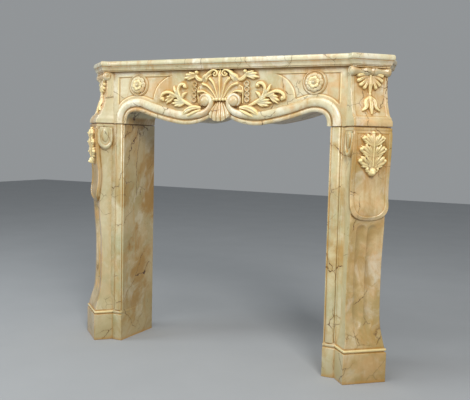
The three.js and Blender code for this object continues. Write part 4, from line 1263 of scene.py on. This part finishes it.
def petal_shape(name, length, width, start, heights, notch=0.0):
    """A cupped petal that points up, with a furrow down its middle, facing the room."""
    u, v = np.meshgrid(np.linspace(0, 1, 13), np.linspace(-1, 1, 11), indexing="ij")
    half = width / 2 * np.sin(math.pi * np.clip(0.12 + 0.80 * u, 0, 1)) ** 0.7
    tip = 1 - notch * np.abs(v) ** 1.5 * u
    x, z = v * half, start + (length - start) * u * tip
    rise = evenly(heights, u) * (1 - 0.30 * v * v) - 1.6 * np.exp(-(v / 0.22) ** 2) * np.sin(math.pi * u)
    top = np.stack([x, -rise, z], axis=-1)
    low = np.stack([x * 0.94, -np.minimum(rise - 2.2, 0.5), z * 0.99], axis=-1)
    points = np.concatenate([top, low]).reshape(-1, 3) * MM
    rows, cols = u.shape
    at = np.arange(rows * cols).reshape(rows, cols)
    faces = []
    for layer, flip in ((0, 1), (rows * cols, -1)):
        cells = np.stack([at[:-1, :-1], at[1:, :-1], at[1:, 1:], at[:-1, 1:]], axis=-1) + layer
        faces += [tuple(q[::flip]) for q in cells.reshape(-1, 4).tolist()]
    rim = np.concatenate([at[0], at[1:, -1], at[-1, -2::-1], at[-2:0:-1, 0]])
    for a, b in zip(rim, np.roll(rim, -1)):
        faces.append((int(a), int(b), int(b) + rows * cols, int(a) + rows * cols))
    made = helper_object(name, points, faces=faces)
    # Raised parts of a petal are painted lighter and its root ochre: partly gilt and wash, partly
    # painted highlight and shade.
    finished(made.data, 0.35 + 0.04 * np.concatenate([rise, rise * 0]))
    return made


outer_leaf = petal_shape("outer_leaf", 34, 25, 15, [4, 7, 8.5, 7, 3])
inner_petal = petal_shape("inner_petal", 23.5, 20, 4, [7, 10, 12.5, 12, 7], 0.12)
for side, label in ((1, "right"), (-1, "left")):
    centre = Vector(frieze_point(ROSETTE[0] * side, ROSETTE[1], 0).tolist())
    for petal, count, turn, name in ((outer_leaf, 8, 0.0, "leaves"), (inner_petal, 6, 0.3, "petals")):
        run_tree(ring_tree, f"header_rosette_{name}_{label}", {
            "Petal": petal, "Petals": count, "Centre": centre, "Turn": turn,
            "Finish": FINISHES["header"]}, "header")

# %% [markdown]
# A thin ring lies around the petals of each rosette, and a button with a small knob stands in
# their middle. Both are turned forms: a few radii and heights with a smooth curve through them.

# %% Rosette rings and buttons
def turned_boss(name, centre, rows, slot, parts=48):
    """A turned form on the frieze from (radius, height) rows."""
    around = np.linspace(0, 2 * math.pi, parts + 1)[:-1]
    line = spline(rows, 6 * len(rows))
    rings = [frieze_point(centre[0] + r * np.cos(around), centre[1] + r * np.sin(around), h)
             for r, h in np.clip(line, [0.05, -5], None)]
    return loft(name, rings, slot, sharp=0)


for side, label in ((1, "right"), (-1, "left")):
    centre = (ROSETTE[0] * side, ROSETTE[1])
    turned_boss(f"header_rosette_ring_{label}", centre, [
        (41.5, -4), (41, 1.4), (39.6, 3), (37.6, 2.6), (36, 0.8), (33, 0.6), (25, 1.5), (10, 4), (0, 5)],
        "header")
    turned_boss(f"header_rosette_button_{label}", centre, [
        (8, 5), (8, 9), (7.4, 10.8), (5.6, 11.2), (4.6, 10.4), (4.2, 12.6), (2.8, 14.4), (0, 15)],
        "header", 28)

# %% [markdown]
# A string of husks hangs on either side of the shell. The tree sets one husk at each point of a
# short path.

# %% Row of husks
row_tree, given, result = new_tree("row_of_husks", [
    ("Path", "NodeSocketObject", None), ("Husk", "NodeSocketObject", None),
    ("Finish", "NodeSocketMaterial", None)])
path_info = tree_node(row_tree, "GeometryNodeObjectInfo", Object=given.outputs["Path"])
husk_info = tree_node(row_tree, "GeometryNodeObjectInfo", Object=given.outputs["Husk"])
spots = tree_node(row_tree, "GeometryNodeMeshToPoints", Mesh=path_info.outputs["Geometry"])
copies = tree_node(row_tree, "GeometryNodeInstanceOnPoints", Points=spots.outputs[0],
                   Instance=husk_info.outputs["Geometry"])
finish_tree(row_tree, copies.outputs[0], given.outputs["Finish"], result)


def husk_shape(name, radius):
    """A round husk with a raised rim and a hollow middle that faces the room."""
    rows = [(1, -2), (1, 2.5), (0.98, 6), (0.86, 8), (0.7, 7.6), (0.56, 4.6), (0.4, 3),
            (0.2, 3.2), (0.02, 3.6)]
    around = np.linspace(0, 2 * math.pi, 29)[:-1]
    rings = [np.stack([r * radius * np.cos(around), 0 * around - h, r * radius * np.sin(around)],
                      axis=-1) for r, h in spline(rows, 24)]
    made = helper_object(name, np.concatenate(rings) * MM, faces=ring_faces(*np.shape(rings)[:2]))
    finished(made.data)
    return made


husk = husk_shape("husk", 10.4)
for side, label in ((1, "right"), (-1, "left")):
    line = [(107, 149), (108, 130), (109, 111), (109, 92)]
    spots_path = helper_object(f"husk_path_{label}",
                               [frieze_point(s * side, t, 0).tolist() for s, t in line])
    run_tree(row_tree, f"header_husks_{label}", {"Path": spots_path, "Husk": husk,
                                                 "Finish": FINISHES["header"]}, "header")

# %% [markdown]
# The shelf is a slab whose edge is moulded: a cavetto, a step and a thick round nose. Its plan
# follows the canted ends with a short return. It is one loft through its plan at each level.

# %% Shelf
SHELF_EDGE = np.vstack([
    smooth_steps([(0, -3), (0.6, 0), (4, 0), (4.5, 3), (7, 3.4)], 0.8),
    spline([(7.4, 3.5), (11, 4.4), (15, 6.4), (18, 8.6)], 8)[1:],
    smooth_steps([(18, 8.6), (18.6, 6.8), (20.6, 6.8), (21, 8.8)], 0.5)[1:],
    spline([(21, 8.8), (23.6, 10.5), (28.4, 11), (33, 10.5), (37, 9), (39, 7.4), (39.5, 5.4)], 16)[1:]])

CANTED_WIDTH, CANTED_REACH = 138.5, 46
MIDDLE_REACH, END_OVERHANG = 10, 25


def shelf_ring(up, out):
    near = (BASE_WIDTH - CANTED_WIDTH) / 2 - out
    far = BASE_WIDTH - near
    reach, front, end = CANTED_REACH + out, -MIDDLE_REACH - out, HALF_BODY + END_OVERHANG + out
    notch = (near * ACROSS[1] - front) / -FORWARD[1]
    outer = STRIP_OUT + far * ACROSS[0] + reach * FORWARD[0]
    back = reach - (outer - end) / FORWARD[0]
    corners = [console_point(a, f, 0)[:2] / MM for a, f in
               ((near, notch), (near, reach), (far, reach), (far, back))]
    corners = np.array(corners + [np.array([end, WALL_Y])])
    whole = np.vstack([corners, corners[::-1] * [-1, 1]])
    plan = []
    for i, at in enumerate(whole):
        into, onward = whole[i - 1] - at, whole[(i + 1) % len(whole)] - at
        into, onward = into / np.linalg.norm(into), onward / np.linalg.norm(onward)
        r = 0.2 if i in (4, 5) else 3.0
        plan.append(at + into * 2 * r)
        for k in np.linspace(0, 1, 5):
            plan.append(at + (1 - k) ** 2 * r * into + k * k * r * onward)
        plan.append(at + onward * 2 * r)
    plan = np.array(plan)
    height = np.full((len(plan), 1), SHELF_BOTTOM + up)
    return np.hstack([plan, height]) * MM


shelf_rings = [shelf_ring(*row) for row in SHELF_EDGE]
# The mouldings under the nose take a low crest, which paints them ochre as painted shade.
shelf_crest = np.where(SHELF_EDGE[:, 0] < 21, 0.4, 0.5)
loft("shelf_slab", shelf_rings, "shelf", crest_rows_of(shelf_rings, shelf_crest))

# %% [markdown]
# The left leg is the right one in a mirror. Then every piece gets the finish of its slot, rides
# on the one body of the mantel, and stands for the solids that it replaces.

# %% Left leg and finishes
for source, _ in [row for row in PIECES if row[1] == "leg_right"]:
    mirrored(source, source.name.replace("leg_right", "leg_left"), "leg_left")
for made, slot in PIECES:
    made.data.materials.clear()
    own = [finish for ends, finish in OWN_FINISHES.items() if made.name.endswith(ends)]
    made.data.materials.append(own[0] if own else FINISHES[slot])
    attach(made, "root")
for helper in HELPERS:
    bpy.data.objects.remove(helper)
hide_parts("leg_right")
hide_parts("leg_left")
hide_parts("header")
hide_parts("shelf")
print(len(PIECES), "pieces,", sum(len(p.vertices) - 2 for m, _ in PIECES for p in m.data.polygons),
      "triangles")

# %% [markdown]
# The studio is plain: a pale floor, a wide soft light from the front and right, a weaker one from
# the left, a small one above, and an even pale surround.

# %% Floor and lights
bpy.ops.mesh.primitive_plane_add(size=16, location=(0, 0, 0))
floor = bpy.context.object
floor.name = "studio_floor"
shop = Shop("pale_floor")
floor_place = shop.node("ShaderNodeTexCoord", output="Object")
floor_color = shop.mix(shop.noise(floor_place, 3.0, 3.0), (0.36, 0.375, 0.39, 1),
                       (0.41, 0.425, 0.44, 1))
floor_shader = shop.node("ShaderNodeBsdfPrincipled", None, {
    "Base Color": floor_color, "Roughness": 0.8})
shop.node("ShaderNodeOutputMaterial", None, {"Surface": floor_shader})
floor.data.materials.append(shop.material)

world = bpy.data.worlds.new("studio")
bpy.context.scene.world = world
bpy.context.scene.view_settings.view_transform = "Standard"
world.use_nodes = True
world.node_tree.nodes["Background"].inputs["Color"].default_value = (0.82, 0.86, 0.89, 1)
world.node_tree.nodes["Background"].inputs["Strength"].default_value = 0.35


def softbox(name, location, target, size, power, color):
    light = bpy.data.lights.new(name, "AREA")
    light.shape, light.size, light.size_y = "RECTANGLE", size[0], size[1]
    light.energy, light.color = power, color
    made = bpy.data.objects.new(name, light)
    made.location = location
    made.rotation_euler = (Vector(target) - Vector(location)).to_track_quat("-Z", "Y").to_euler()
    bpy.context.scene.collection.objects.link(made)


softbox("key", (3.1, -4.0, 3.5), (0, 0, 0.95), (1.5, 1.5), 172, (1.0, 0.98, 0.94))
softbox("fill", (-3.4, -2.4, 2.2), (0, 0, 0.9), (2.2, 1.8), 84, (0.91, 0.97, 1.0))
softbox("top", (0.2, -1.5, 3.0), (0, 0, 1.05), (2.4, 1.4), 38, (1.0, 0.99, 0.97))

# %% [markdown]
# The camera stands where the photographer stood, to the right of the mantel and turned to the
# left, at about three quarters of its height. Its place, turn and focal length were solved on the
# corners of the legs, the header and the shelf.

# %% Camera
FOCAL_LENGTH, PICTURE_WIDTH = 702, 470  # both in pixels
yaw, pitch, roll_angle = (math.radians(a) for a in (26.31, -4.79, 1.38))
ahead = Vector((-math.sin(yaw) * math.cos(pitch), math.cos(yaw) * math.cos(pitch), math.sin(pitch)))
level = ahead.cross(Vector((0, 0, 1))).normalized()
upward = level.cross(ahead)
right_hand = math.cos(roll_angle) * level + math.sin(roll_angle) * upward
over = -math.sin(roll_angle) * level + math.cos(roll_angle) * upward
pose = Matrix((right_hand, over, -ahead)).transposed().to_4x4()
pose.translation = Vector((1.2049, -2.3753, 0.8121))
lens = bpy.data.cameras.new("camera")
lens.sensor_width = 36
lens.lens = lens.sensor_width * FOCAL_LENGTH / PICTURE_WIDTH
camera = bpy.data.objects.new("camera", lens)
camera.matrix_world = pose
bpy.context.scene.collection.objects.link(camera)
bpy.context.scene.camera = camera
